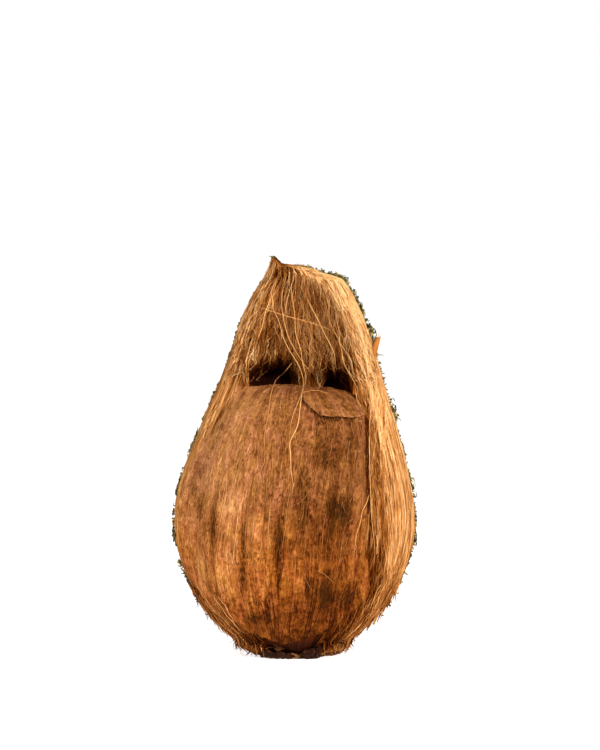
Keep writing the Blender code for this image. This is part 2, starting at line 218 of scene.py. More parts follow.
def hollow_points(angle, climb):
    """The hood's bowl with its two pockets, opened towards the front."""
    height = HOLLOW_LOW + (HOLLOW_TOP - HOLLOW_LOW) * (1 + np.sin(climb)) / 2
    narrow = np.maximum(np.cos(climb), 0)
    wide = narrow**0.5 * (HOLLOW_WIDE - HOLLOW_TAPER * np.maximum(0, height - HOLLOW_TAPER_FROM))
    wide = wide * (1 - 0.07 * streaks(angle, height, 5.0, 40))
    middle = 0.0045 + 0.0012 * smooth(height, 0.160, 0.185) - 0.0065 * smooth(height, 0.195, HOLLOW_TOP)
    across, behind = np.cos(angle), np.sin(angle)
    back = np.maximum(behind, 0)
    x_back = middle + wide * across
    top = POCKET_TO - POCKET_FALL * smooth(x_back, 0.0, 0.015)
    pocket = POCKET_DEEP * (1 - smooth(height, top - (POCKET_TO - POCKET_FROM), top))
    pocket = pocket * (1 - bell(x_back, SEPTUM_X, SEPTUM_WIDE)) * smooth(back, 0.25, 0.70)
    relief = 0.12 * streaks(angle, height, 6.0, 31) + 0.06 * streaks(angle, height, 24, 32, 30)
    y_back = HOLLOW_RIM + HOLLOW_DEEP * (1 - relief) * narrow**0.7 * back**1.6 + pocket
    flare = 1 - HOLLOW_FLARE * behind
    x_front = middle + wide * np.sign(across) * np.sqrt(np.abs(across)) * flare
    y_front = HOLLOW_RIM + HOLLOW_FRONT * narrow * behind
    opened = behind > 0
    x = np.where(opened, x_back, x_front)
    return np.stack([x, np.where(opened, y_back, y_front), height - tip_drop(x, height)], -1)


# ---- where a point lies, for the patterns ------------------------------------------------------


def husk_side(height):
    """The husk's half-width and middle at a height."""
    rise = np.clip(2 * height / HEIGHT - 1, -1, 1)
    narrow = np.sqrt(1 - rise**2)
    girth = GIRTH_LOW + (GIRTH_HIGH - GIRTH_LOW) * smooth(height, WAIST_FROM, WAIST_TO)
    lean = np.where(rise > 0, TIP_LEAN * np.maximum(0, 1 - narrow / 0.45) ** 1.3, 0)
    return np.maximum(0.002, narrow * girth), husk_middle(height, lean)


def husk_share(points):
    """Where a point lies across the husk's width at its height, from -1 to 1."""
    side, middle = husk_side(points[:, 2])
    return np.clip((points[:, 0] - middle) / side, -1, 1)


def husk_flow(points, skin=0.0):
    """Distance round the husk and height. Lines of one distance meet at the tip and at the stem scar."""
    around = np.arccos(husk_share(points)) * np.where(np.asarray(skin) > 0.5, -1, 1)
    return np.stack([around * 0.06, points[:, 2], points[:, 1] * 0], -1)


def nut_flow(points):
    """Distance round the nut and height, with 1 as the third value to tell it from the husk's."""
    middle = NUT_LEFT + NUT_SWING * smooth(points[:, 2], 0.06, 0.15)
    angle = np.arctan2(points[:, 1] - NUT_FORWARD, points[:, 0] - middle)
    return np.stack([angle * 0.05, points[:, 2], points[:, 1] * 0 + 1], -1)


def band_share(points):
    """1 in the pale band along the right edge, which is wider beside the hood."""
    share = husk_share(points)
    z = points[:, 2]
    inner = 0.79 - 0.03 * smooth(z, 0.120, 0.140) - 0.18 * smooth(z, 0.150, 0.195)
    return smooth(share, inner - 0.07, inner + 0.05)


def rim_tone(points):
    """Pale gold along the right edge, tan on the left and under the tip, darker towards the base."""
    x, _, z = points.T
    left = smooth(-husk_share(points), 0.70, 0.92)
    right = band_share(points)
    gold = 0.32 + 0.05 * smooth(z, 0.120, 0.140) + 0.12 * smooth(z, 0.155, 0.185)
    tone = 0.42 + 0.23 * left + gold * right
    tone = tone + 0.32 * smooth(z, 0.200, 0.210) * smooth(x, -0.006, 0.004) * (1 - right)
    tone = tone - 0.20 * smooth(z, 0.2205, 0.2225)
    return tone - 0.30 * smooth(-z, -0.075, -0.025) - 0.08 * smooth(-z, -0.016, -0.008)


def hood_tone(points):
    """Brown in the hood, red-brown under the tip, paler up its left side as painted light on that lit wall,
    and darker just above the pockets and nearly black in them as painted shade.
    """
    x, _, z = points.T
    share = husk_share(points)
    # Paler up the left side: painted light, where the light falls on the hood's left wall.
    tone = 0.39 + 0.15 * smooth(-share, 0.20, 0.70) + 0.12 * bell(share, 0.35, 0.30)
    tone = tone + 0.24 * smooth(z, 0.190, 0.206) * bell(x, 0.015, 0.012)
    tone = tone - 0.26 * bell(x, -0.0060, 0.0060) * smooth(z, 0.198, 0.206)
    # Darker just above the pockets: painted shade that deepens into them.
    tone = tone - 0.11 * bell(x, 0.004, 0.020) * bell(z, 0.170, 0.014)
    # Nearly black in the pockets: painted shade in the deep recesses.
    return tone - 0.62 * pocket_shade_share(x, z)


def pocket_shade_share(x, z):
    """1 in the two pockets at the foot of the hood, where shade is painted, and 0 around them."""
    left = smooth(x, -0.0285, -0.0235) * smooth(-x, 0.0010, 0.0050) * smooth(-z, -0.1710, -0.1605)
    right = smooth(x, 0.0140, 0.0205) * smooth(-x, -0.0340, -0.0290) * smooth(-z, -0.1680, -0.1575)
    return np.maximum(left, right)


# Stains and pale patches of the nut: (x, z, half-width, half-height, strength), darker where over 0.
NUT_PATCHES = (
    (0.0245, 0.085, 0.0075, 0.0095, 0.80),
    (0.0205, 0.078, 0.0035, 0.0110, 0.45),
    (0.0170, 0.115, 0.0060, 0.0070, 0.40),
    (0.0300, 0.122, 0.0060, 0.0050, 0.25),
    (-0.0530, 0.106, 0.0025, 0.0045, 0.60),
    (-0.0560, 0.096, 0.0020, 0.0060, 0.50),
    (-0.0525, 0.087, 0.0018, 0.0070, 0.55),
    (-0.0450, 0.077, 0.0035, 0.0130, 0.70),
    (-0.0280, 0.072, 0.0014, 0.0180, 0.60),
    (-0.0086, 0.072, 0.0030, 0.0140, 0.65),
    (-0.0283, 0.050, 0.0030, 0.0100, 0.60),
    (0.0075, 0.043, 0.0016, 0.0100, 0.60),
    (0.0170, 0.039, 0.0050, 0.0090, 0.60),
    (0.0300, 0.037, 0.0050, 0.0050, 0.45),
    (-0.0220, 0.025, 0.0055, 0.0035, 0.60),
    (0.0040, 0.092, 0.0050, 0.0120, 0.25),
    (-0.0355, 0.086, 0.0065, 0.0090, -0.55),
    (-0.0205, 0.070, 0.0070, 0.0140, -0.40),
    (-0.0360, 0.050, 0.0040, 0.0090, -0.40),
    (-0.0170, 0.042, 0.0040, 0.0120, -0.20),
    (0.0340, 0.060, 0.0060, 0.0300, -0.25),
)


def nut_tone(points):
    """Paler on the left and by the lip, darker right of the middle and at the foot."""
    x, _, z = points.T
    tone = 0.43 + 0.18 * smooth(-x, 0.005, 0.045) - 0.11 * bell(x, 0.020, 0.020)
    tone += 0.05 * smooth(z, 0.125, 0.145) - 0.18 * smooth(-z, -0.055, -0.010)
    for at_x, at_z, wide, tall, strength in NUT_PATCHES:
        if strength < 0:
            tone = tone - 0.35 * strength * bell(x, at_x, wide) * bell(z, at_z, tall)
    return tone - 0.20 * flap_shade(x, z)


def flap_shade(x, z):
    """1 in the shade right under the lifted flap of felt, and 0 away from it."""
    edge_x, edge_z = np.array(FLAP_EDGE).T
    below = np.interp(x, edge_x, edge_z) - z
    return bell(below, 0.0012, 0.0014) * smooth(x, 0.010, 0.015) * smooth(-x, -0.036, -0.030)


def nut_stain(points):
    """How strongly the front of the nut is stained, from 0 to 1."""
    x, y, z = points.T
    stain = x * 0
    for at_x, at_z, wide, tall, strength in NUT_PATCHES:
        if strength > 0:
            stain = np.maximum(stain, strength * bell(x, at_x, wide) * bell(z, at_z, tall))
    return stain * smooth(-y, 0, 0.02)


# ---- meshes ------------------------------------------------------------------------------------


def unit(vectors):
    """The vectors, each made 1 long."""
    return vectors / np.maximum(1e-9, np.linalg.norm(vectors, axis=-1, keepdims=True))


def link(name, mesh, material):
    """Puts a mesh in the scene as a smooth object."""
    obj = bpy.data.objects.new(name, mesh)
    if material:
        mesh.materials.append(material)
    mesh.shade_smooth()
    bpy.context.scene.collection.objects.link(obj)
    return obj


def mesh_of(name, bm):
    """The mesh that a bmesh holds, which is freed."""
    mesh = bpy.data.meshes.new(name)
    bm.to_mesh(mesh)
    bm.free()
    return mesh


def mesh_points(mesh):
    """All points of a mesh, as rows."""
    points = np.zeros(len(mesh.vertices) * 3)
    mesh.vertices.foreach_get("co", points)
    return points.reshape(-1, 3)


def write_values(mesh, flow, **values):
    """Stores what the materials read at each point."""
    vectors = mesh.attributes.new("flow", "FLOAT_VECTOR", "POINT")
    vectors.data.foreach_set("vector", np.asarray(flow, np.float32).ravel())
    for name, numbers in values.items():
        layer = mesh.attributes.new(name, "FLOAT", "POINT")
        layer.data.foreach_set("value", np.asarray(numbers, np.float32))


def shaped_sphere(name, round_count, climb_count, points_of, material=None, to_front=0.0):
    """A UV sphere moved to points_of(angle, climb). To_front packs its meridians at the front."""
    bm = bmesh.new()
    bmesh.ops.create_uvsphere(bm, u_segments=round_count, v_segments=climb_count, radius=1)
    mesh = mesh_of(name, bm)
    ball = mesh_points(mesh)
    angle = np.arctan2(ball[:, 1], ball[:, 0])
    angle = angle - to_front * np.cos(angle)
    climb = np.arcsin(np.clip(ball[:, 2], -1, 1))
    mesh.vertices.foreach_set("co", points_of(angle, climb).astype(np.float32).ravel())
    return link(name, mesh, material)


def tree_of(*bodies):
    """One search tree over the faces of several objects."""
    corners, faces = [], []
    for body in bodies:
        first = len(corners)
        corners.extend(mesh_points(body.data).tolist())
        faces.extend([first + index for index in face.vertices] for face in body.data.polygons)
    return BVHTree.FromPolygons(corners, faces)


def distance_to(points, tree, reach=0.001):
    """How far each point is from the tree's faces, and `reach` past that."""
    found = [tree.find_nearest(point, reach)[3] for point in points.tolist()]
    return np.array([reach if away is None else away for away in found])


def cut(obj, cutter):
    """Takes the cutter out of the object, removes the cutter and returns a tree of its faces."""
    modifier = obj.modifiers.new("cut", "BOOLEAN")
    modifier.operation = "DIFFERENCE"
    modifier.solver = "MANIFOLD"
    modifier.object = cutter
    bpy.context.view_layer.update()
    graph = bpy.context.evaluated_depsgraph_get()
    made = bpy.data.meshes.new_from_object(obj.evaluated_get(graph))
    obj.modifiers.clear()
    obj.data = made
    tree = tree_of(cutter)
    bpy.data.objects.remove(cutter)
    return tree


def inside_frame(points):
    """The points, kept inside the frame's own box."""
    return np.clip(points, np.array(CAD_LOW) + FRAME_MARGIN, np.array(CAD_HIGH) - FRAME_MARGIN)


TUBE_REFERENCE = np.array([0.12, -0.99, 0.05])  # a direction that hardly any fibre runs in


def tubes(name, routes, radii, tone, flow_of, material, tip=0.25, sides=3):
    """Fibres: tubes along routes (fibre, point, xyz), thinner towards both ends."""
    routes = inside_frame(routes)
    count, steps = routes.shape[:2]
    along = np.linspace(0, 1, steps)
    taper = tip + (1 - tip) * np.sqrt(np.clip(1 - np.abs(2 * along - 0.8) ** 3, 0, 1))
    tangent = unit(np.gradient(routes, axis=1))
    sideways = unit(np.cross(tangent, TUBE_REFERENCE))
    upward = np.cross(sideways, tangent)
    radius = (np.asarray(radii)[:, None] * taper[None, :])[:, :, None]
    rings = []
    for corner in range(sides):
        turn = 2 * math.pi * corner / sides + math.pi / 2
        rings.append(routes + radius * (sideways * math.cos(turn) + upward * math.sin(turn)))
    points = inside_frame(np.stack(rings, 2).reshape(-1, 3))
    base = (np.arange(count) * steps * sides)[:, None, None]
    ring = (np.arange(steps - 1) * sides)[None, :, None]
    corner = np.arange(sides)[None, None, :]
    here = base + ring + corner
    beside = base + ring + (corner + 1) % sides
    quads = np.stack([here, beside, beside + sides, here + sides], -1).reshape(-1, 4)
    rim = np.arange(sides)[None, :]
    first = base[:, 0] + rim[:, ::-1]
    last = base[:, 0] + (steps - 1) * sides + rim
    mesh = mesh_from(name, points, [quads, first, last])
    tone = np.broadcast_to(np.asarray(tone).reshape(count, -1), (count, steps))
    write_values(mesh, flow_of(points), tone=np.repeat(tone.ravel(), sides))
    return link(name, mesh, material)


def mesh_from(name, points, groups):
    """A mesh of these points, with faces given in groups that each have one number of corners."""
    corners = np.concatenate([group.ravel() for group in groups])
    sizes = np.concatenate([np.full(len(group), group.shape[1]) for group in groups])
    mesh = bpy.data.meshes.new(name)
    mesh.vertices.add(len(points))
    mesh.vertices.foreach_set("co", points.astype(np.float32).ravel())
    mesh.loops.add(len(corners))
    mesh.loops.foreach_set("vertex_index", corners.astype(np.int32))
    mesh.polygons.add(len(sizes))
    starts = np.concatenate([[0], np.cumsum(sizes)[:-1]])
    mesh.polygons.foreach_set("loop_start", starts.astype(np.int32))
    mesh.update(calc_edges=True)
    mesh.validate()
    return mesh


OCTAHEDRON = np.array([(1, 0, 0), (0, 1, 0), (-1, 0, 0), (0, -1, 0), (0, 0, 1), (0, 0, -1)], float)
OCTAHEDRON_FACES = np.array(
    [(0, 1, 4), (1, 2, 4), (2, 3, 4), (3, 0, 4), (1, 0, 5), (2, 1, 5), (3, 2, 5), (0, 3, 5)]
)


def crumbs(name, rng, places, directions, lengths, widths, tone, material):
    """Ragged shards, each a knocked-about octahedron stretched along its direction."""
    count = len(places)
    along = unit(directions)
    sideways = unit(np.cross(along, rng.normal(size=(count, 3))))
    across = np.cross(along, sideways)
    shape = OCTAHEDRON[None] * (1 + rng.uniform(-0.45, 0.45, (count, 6, 1)))
    shape = shape + rng.uniform(-0.25, 0.25, (count, 6, 3))
    points = places[:, None] + shape[:, :, 2:] * along[:, None] * lengths[:, None, None] / 2
    points = points + shape[:, :, :1] * sideways[:, None] * widths[:, None, None] / 2
    points = points + shape[:, :, 1:2] * across[:, None] * widths[:, None, None] / 5
    points = inside_frame(points.reshape(-1, 3))
    faces = (np.arange(count)[:, None, None] * 6 + OCTAHEDRON_FACES[None]).reshape(-1, 3)
    mesh = mesh_from(name, points, [faces])
    write_values(mesh, husk_flow(points), tone=np.repeat(tone, 6))
    made = link(name, mesh, material)
    mesh.shade_flat()
    return made


# ---- materials ---------------------------------------------------------------------------------


class Paint:
    """A Principled material whose nodes are made by short calls, each of which returns an output."""

    def __init__(self, name, roughness=0.8, specular=0.3):
        self.material = bpy.data.materials.new(name)
        self.material.use_nodes = True
        self.tree = self.material.node_tree
        self.shader = self.tree.nodes["Principled BSDF"]
        self.shader.inputs["Roughness"].default_value = roughness
        self.shader.inputs["Specular IOR Level"].default_value = specular

    def put(self, socket, value):
        """Links an output to the socket, or sets the socket to a plain value."""
        if isinstance(value, bpy.types.NodeSocket):
            self.tree.links.new(value, socket)
        else:
            socket.default_value = value

    def node(self, kind, inputs=(), **settings):
        """A node with these settings, and these inputs by name or number."""
        made = self.tree.nodes.new(kind)
        for key, value in settings.items():
            setattr(made, key, value)
        for key, value in dict(inputs).items():
            self.put(made.inputs[key], value)
        return made

    def value(self, name):
        """One of the values that each surface point carries."""
        return self.node("ShaderNodeAttribute", attribute_name=name).outputs["Fac"]

    def flow(self, across, along, seed=0.0):
        """The flow coordinates, counted in cells of these sizes."""
        vector = self.node("ShaderNodeAttribute", attribute_name="flow").outputs["Vector"]
        scale = (1 / across, 1 / along, 1)
        add = (seed * 3.7, seed * 1.3, seed)
        return self.node(
            "ShaderNodeVectorMath", {0: vector, 1: scale, 2: add}, operation="MULTIPLY_ADD"
        ).outputs[0]

    def place(self, size):
        """The place in the row's frame, counted in cells of this size."""
        vector = self.node("ShaderNodeTexCoord").outputs["Object"]
        return self.node("ShaderNodeVectorMath", {0: vector, "Scale": 1 / size}, operation="SCALE").outputs[0]

    def noise(self, vector, detail=2.0, rough=0.5):
        """Noise with cells 1 unit of the vector across."""
        inputs = {"Vector": vector, "Scale": 1.0, "Detail": detail, "Roughness": rough}
        return self.node("ShaderNodeTexNoise", inputs).outputs["Fac"]

    def height(self):
        """Metres above the floor."""
        vector = self.node("ShaderNodeAttribute", attribute_name="flow").outputs["Vector"]
        return self.node("ShaderNodeSeparateXYZ", {0: vector}).outputs[1]

    def centred(self, value, amount):
        """A noise moved to be about 0, times the amount."""
        return self.math("MULTIPLY", self.math("SUBTRACT", value, 0.5), amount)

    def sum(self, first, *others):
        """All of the values added up."""
        for other in others:
            first = self.math("ADD", first, other)
        return first

    def math(self, operation, a, b=0.0, c=0.0, clamp=False):
        """One step of arithmetic, held between 0 and 1 if clamp is set."""
        inputs = {0: a, 1: b}
        if operation == "MULTIPLY_ADD":
            inputs[2] = c
        return self.node("ShaderNodeMath", inputs, operation=operation, use_clamp=clamp).outputs[0]

    def step(self, value, low, high, to_low=0.0, to_high=1.0):
        """A smooth step of value, from to_low to to_high."""
        inputs = {"Value": value, "From Min": low, "From Max": high, "To Min": to_low, "To Max": to_high}
        return self.node("ShaderNodeMapRange", inputs, interpolation_type="SMOOTHSTEP").outputs["Result"]

    def mix(self, amount, a, b, blend="MIX"):
        """The colour a, with this amount of the colour b."""
        made = self.node("ShaderNodeMix", data_type="RGBA", blend_type=blend)
        for index, value in ((0, amount), (6, a), (7, b)):
            self.put(made.inputs[index], value)
        return made.outputs[2]

    def ramp(self, value, stops):
        """Colours along a value: stops are (place, (red, green, blue))."""
        made = self.node("ShaderNodeValToRGB", {"Fac": value})
        elements = made.color_ramp.elements
        while len(elements) < len(stops):
            elements.new(0.5)
        for element, (place, colour) in zip(elements, stops):
            element.position = place
            element.color = (*colour, 1)
        return made.outputs["Color"]

    def bump(self, height, depth, strength=1.0):
        """Relief of that depth in metres."""
        inputs = {"Height": height, "Distance": depth, "Strength": strength}
        self.put(self.shader.inputs["Normal"], self.node("ShaderNodeBump", inputs).outputs["Normal"])

    def finish(self, colour, roughness=None):
        """Sets the colour, and a roughness that varies if there is one, and returns the material."""
        self.put(self.shader.inputs["Base Color"], colour)
        if roughness is not None:
            self.put(self.shader.inputs["Roughness"], roughness)
        return self.material


COIR = (
    (0.00, (0.016, 0.003, 0.001)),
    (0.15, (0.078, 0.014, 0.001)),
    (0.30, (0.168, 0.036, 0.002)),
    (0.45, (0.290, 0.093, 0.013)),
    (0.60, (0.440, 0.175, 0.044)),
    (0.75, (0.640, 0.298, 0.094)),
    (0.88, (0.830, 0.450, 0.160)),
    (1.00, (0.920, 0.620, 0.300)),
)
FELT = (
    (0.00, (0.030, 0.009, 0.002)),
    (0.20, (0.110, 0.033, 0.007)),
    (0.40, (0.235, 0.082, 0.023)),
    (0.55, (0.355, 0.137, 0.044)),
    (0.70, (0.500, 0.212, 0.078)),
    (0.85, (0.670, 0.320, 0.135)),
    (1.00, (0.820, 0.450, 0.215)),
)
FELT_LOW = (
    (0.00, (0.030, 0.006, 0.001)),
    (0.20, (0.095, 0.021, 0.002)),
    (0.40, (0.215, 0.057, 0.008)),
    (0.55, (0.330, 0.100, 0.020)),
    (0.70, (0.470, 0.170, 0.042)),
    (0.85, (0.640, 0.270, 0.085)),
    (1.00, (0.800, 0.410, 0.160)),
)


def fibre_material():
    """Loose fibre: its own tone, a little mottled along its length."""
    paint = Paint("loose_fibre", 0.75, 0.02)
    mottle = paint.noise(paint.flow(0.0008, 0.006, 2), 1.0)
    tone = paint.math("ADD", paint.value("tone"), paint.centred(mottle, 0.40))
    return paint.finish(paint.ramp(tone, COIR))


def nut_material():
    """Felt of matted fibre: short streaks and cracks along the nut, flecks, specks and stains."""
    paint = Paint("nut_felt", 0.85, 0.02)
    height = paint.height()
    low = paint.step(height, 0.108, 0.058)
    broad = paint.noise(paint.flow(0.0050, 0.045, 5), 2.0)
    streak = paint.noise(paint.flow(0.0017, 0.014, 3), 3.0, 0.65)
    hair = paint.noise(paint.flow(0.0009, 0.0050, 7), 2.0, 0.6)
    blotch = paint.noise(paint.place(0.0055), 3.0, 0.6)
    grit = paint.noise(paint.place(0.0017), 2.0, 0.7)
    dash = paint.noise(paint.flow(0.0008, 0.0030, 9), 1.5, 0.5)
    cluster = paint.noise(paint.flow(0.008, 0.020, 12), 2.0)
    tone = paint.sum(
        paint.value("tone"),
        paint.centred(broad, 0.52),
        paint.centred(streak, paint.step(low, 0.0, 1.0, 0.38, 0.64)),
        paint.centred(hair, paint.step(low, 0.0, 1.0, 0.50, 0.44)),
        paint.centred(blotch, 0.72),
        paint.centred(grit, 0.55),
    )
    stain = paint.value("stain")
    spotted = paint.math("ADD", paint.math("MULTIPLY", cluster, 0.34), paint.math("MULTIPLY", stain, 0.20))
    spots = paint.step(paint.math("ADD", dash, spotted), 0.78, 0.86, 0.0, 0.22)
    line = paint.math("ABSOLUTE", paint.centred(paint.noise(paint.flow(0.0075, 0.065, 15), 1.0), 1.0))
    crack = paint.math("MULTIPLY", paint.step(line, 0.022, 0.004, 0.0, 0.20), paint.step(cluster, 0.42, 0.55))
    crack = paint.math("MULTIPLY", crack, low)
    torn = paint.step(paint.math("ADD", blotch, streak), 0.80, 1.10, 0.12, 0.46)
    dark = paint.sum(spots, crack, paint.math("MULTIPLY", stain, torn))
    tone = paint.math("SUBTRACT", tone, dark)
    colour = paint.mix(low, paint.ramp(tone, FELT), paint.ramp(tone, FELT_LOW))
    colour = paint.mix(paint.math("MULTIPLY", stain, 0.40, clamp=True), colour, (0.052, 0.026, 0.004, 1))
    hue = paint.noise(paint.flow(0.007, 0.016, 19), 3.0, 0.6)
    tint = paint.ramp(hue, ((0.38, (1.0, 0.93, 1.12)), (0.50, (1.0, 1.0, 1.0)), (0.62, (1.0, 1.05, 0.84))))
    colour = paint.mix(1.0, colour, tint, "MULTIPLY")
    relief = paint.sum(streak, paint.math("MULTIPLY", hair, 0.7), grit, paint.math("MULTIPLY", dark, -1.5))
    paint.bump(relief, 0.0010)
    return paint.finish(colour)


def torn_colour(paint):
    """Torn husk: matted fibre, with painted shade in the gaps between its fibres."""
    fine = paint.noise(paint.flow(0.0009, 0.016, 11), 3.0, 0.6)
    broad = paint.noise(paint.flow(0.0035, 0.050, 13), 2.0)
    grit = paint.noise(paint.place(0.0016), 2.0, 0.6)
    change = paint.sum(paint.centred(fine, 0.90), paint.centred(broad, 0.40), paint.centred(grit, 0.25))
    own = paint.value("tone")
    shown = paint.step(own, -0.05, 0.30, 0.25, 1.0)
    tone = paint.math("MULTIPLY_ADD", change, shown, own)
    # Painted shade in the gaps between the fibres, where the fine noise is low.
    gap = paint.step(fine, 0.42, 0.30, 0.0, 0.16)
    return paint.ramp(paint.math("SUBTRACT", tone, gap), COIR), fine


def husk_material():
    """Torn fibre in front, and behind it the dry skin: grey-brown, wrinkled, mottled with olive."""
    paint = Paint("husk_fibre", 0.82, 0.03)
    torn, fine = torn_colour(paint)
    cloud = paint.noise(paint.place(0.030), 4.0, 0.6)
    crack = paint.noise(paint.flow(0.0012, 0.030, 17), 3.0, 0.6)
    speck = paint.noise(paint.place(0.0022), 2.0, 0.6)
    ridge = paint.noise(paint.flow(0.0060, 0.060, 21), 3.0, 0.55)
    height = paint.height()
    foot = paint.step(height, 0.060, 0.010, 0.0, 0.16)
    top = paint.step(height, 0.180, 0.222, 0.0, 0.14)
    skin_tone = paint.sum(
        paint.math("SUBTRACT", 0.60, paint.math("ADD", foot, top)),
        paint.centred(cloud, 1.10),
        paint.centred(crack, 0.75),
        paint.centred(ridge, 0.60),
    )
    skin = paint.ramp(
        skin_tone,
        (
            (0.15, (0.020, 0.012, 0.005)),
            (0.40, (0.072, 0.040, 0.016)),
            (0.62, (0.165, 0.092, 0.038)),
            (0.90, (0.310, 0.205, 0.110)),
        ),
    )
    olive = paint.step(paint.noise(paint.place(0.045), 3.0), 0.50, 0.66, 0.0, 0.7)
    skin = paint.mix(olive, skin, (0.075, 0.066, 0.026, 1))
    skin = paint.mix(paint.step(speck, 0.62, 0.70, 0.0, 0.5), skin, (0.26, 0.19, 0.11, 1))
    skin = paint.mix(paint.step(speck, 0.36, 0.30, 0.0, 0.7), skin, (0.018, 0.012, 0.006, 1))
    on_skin = paint.value("skin")
    wrinkles = paint.sum(crack, paint.math("MULTIPLY", speck, 0.5), paint.math("MULTIPLY", ridge, 1.2))
    paint.bump(paint.mix(on_skin, fine, wrinkles), 0.0010)
    return paint.finish(paint.mix(on_skin, torn, skin), paint.step(on_skin, 0.0, 1.0, 0.85, 0.62))


def chip_material():
    """Ragged chips of dry skin: dark olive and grey-brown, a few of them pale."""
    paint = Paint("skin_chips", 0.8, 0.08)
    tone = paint.math("ADD", paint.value("tone"), paint.centred(paint.noise(paint.place(0.0015), 2.0), 0.3))
    colour = paint.ramp(
        tone,
        (
            (0.10, (0.016, 0.013, 0.004)),
            (0.35, (0.055, 0.046, 0.014)),
            (0.60, (0.150, 0.125, 0.040)),
            (0.80, (0.320, 0.240, 0.080)),
            (1.00, (0.600, 0.440, 0.200)),
        ),
    )
    return paint.finish(colour)


def calyx_material():
    """Leathery scales, nearly black, with reddish worn edges."""
    paint = Paint("calyx_scale", 0.70, 0.05)
    grain = paint.noise(paint.place(0.0035), 4.0, 0.65)
    fine = paint.noise(paint.flow(0.0009, 0.006, 23), 2.0)
    tone = paint.math("MULTIPLY_ADD", fine, 0.3, paint.math("ADD", grain, paint.value("tone")))
    colour = paint.ramp(
        tone,
        (
            (0.35, (0.012, 0.004, 0.002)),
            (0.60, (0.042, 0.012, 0.004)),
            (0.80, (0.130, 0.042, 0.012)),
            (1.00, (0.360, 0.150, 0.045)),
        ),
    )
    paint.bump(paint.math("ADD", grain, fine), 0.0012)
    return paint.finish(colour)


# ---- the three bodies --------------------------------------------------------------------------


def make_husk(material):
    """The husk, with the nut's room, the hood's hollow and a flat underside cut out of it."""

    def surface(angle, climb):
        return husk_points(angle, climb, -husk_relief(angle, climb))

    husk = shaped_sphere("husk_body", 240, 170, surface, material, to_front=0.3)
    cut(husk, shaped_sphere("room", 90, 70, room_points))
    hollow_tree = cut(husk, shaped_sphere("hollow", 190, 110, hollow_points))
    bm = bmesh.new()
    bmesh.ops.create_cube(bm, size=1)
    bmesh.ops.translate(bm, vec=(0, 0, CALYX_FLOOR - 0.5), verts=bm.verts)
    cut(husk, link("base", mesh_of("base", bm), None))
    points = mesh_points(husk.data)
    hollow = distance_to(points, hollow_tree) < 0.00003
    # The hollow's own surface is a little darker: painted shade in the gaps between the hood's fibres that
    # lie on it.
    tone = np.where(hollow, hood_tone(points) - 0.08, rim_tone(points))
    skin = skin_share(points)
    write_values(husk.data, husk_flow(points, skin), tone=tone, skin=skin)
    husk.data.shade_smooth()
    return husk


def skin_share(points):
    """1 on the skin behind, 0 on the torn face and in the hollows."""
    x, y, z = points.T
    side, middle = husk_side(z + tip_drop(x, z + TIP_DROP))
    ragged = 0.0015 * field(np.stack([x * 90, z * 330, x * 0 + 7], -1))
    ragged = ragged + 0.0012 * field(np.stack([x * 90, z * 900, x * 0 + 2], -1))
    behind = smooth(y, 0.0005 + ragged, 0.0020 + ragged)
    round_share = np.hypot((x - middle) / side, y / (side * DEPTH_SHARE))
    return behind * smooth(round_share, 0.88, 0.92)


def make_nut(material):
    """The nut in its felt."""

    def surface(angle, climb):
        return nut_points(angle, climb, -nut_relief(angle, climb))

    nut = shaped_sphere("nut_felt", 230, 200, surface, material, to_front=0.55)
    points = mesh_points(nut.data)
    write_values(nut.data, nut_flow(points), tone=nut_tone(points), stain=nut_stain(points))
    return nut


# ---- the front, seen straight on ---------------------------------------------------------------


def stretched(depth, passes, both_ways=False):
    """The depths with hollows between their rows spanned, as by a cloth that is pulled tight."""
    spanned = depth.copy()
    for _ in range(passes):
        straight = (spanned[:-2] + 2 * spanned[1:-1] + spanned[2:]) / 4
        spanned[1:-1] = np.minimum(depth[1:-1], straight)
        if both_ways:
            straight = (spanned[:, :-2] + 2 * spanned[:, 1:-1] + spanned[:, 2:]) / 4
            spanned[:, 1:-1] = np.minimum(depth[:, 1:-1], straight)
    return spanned


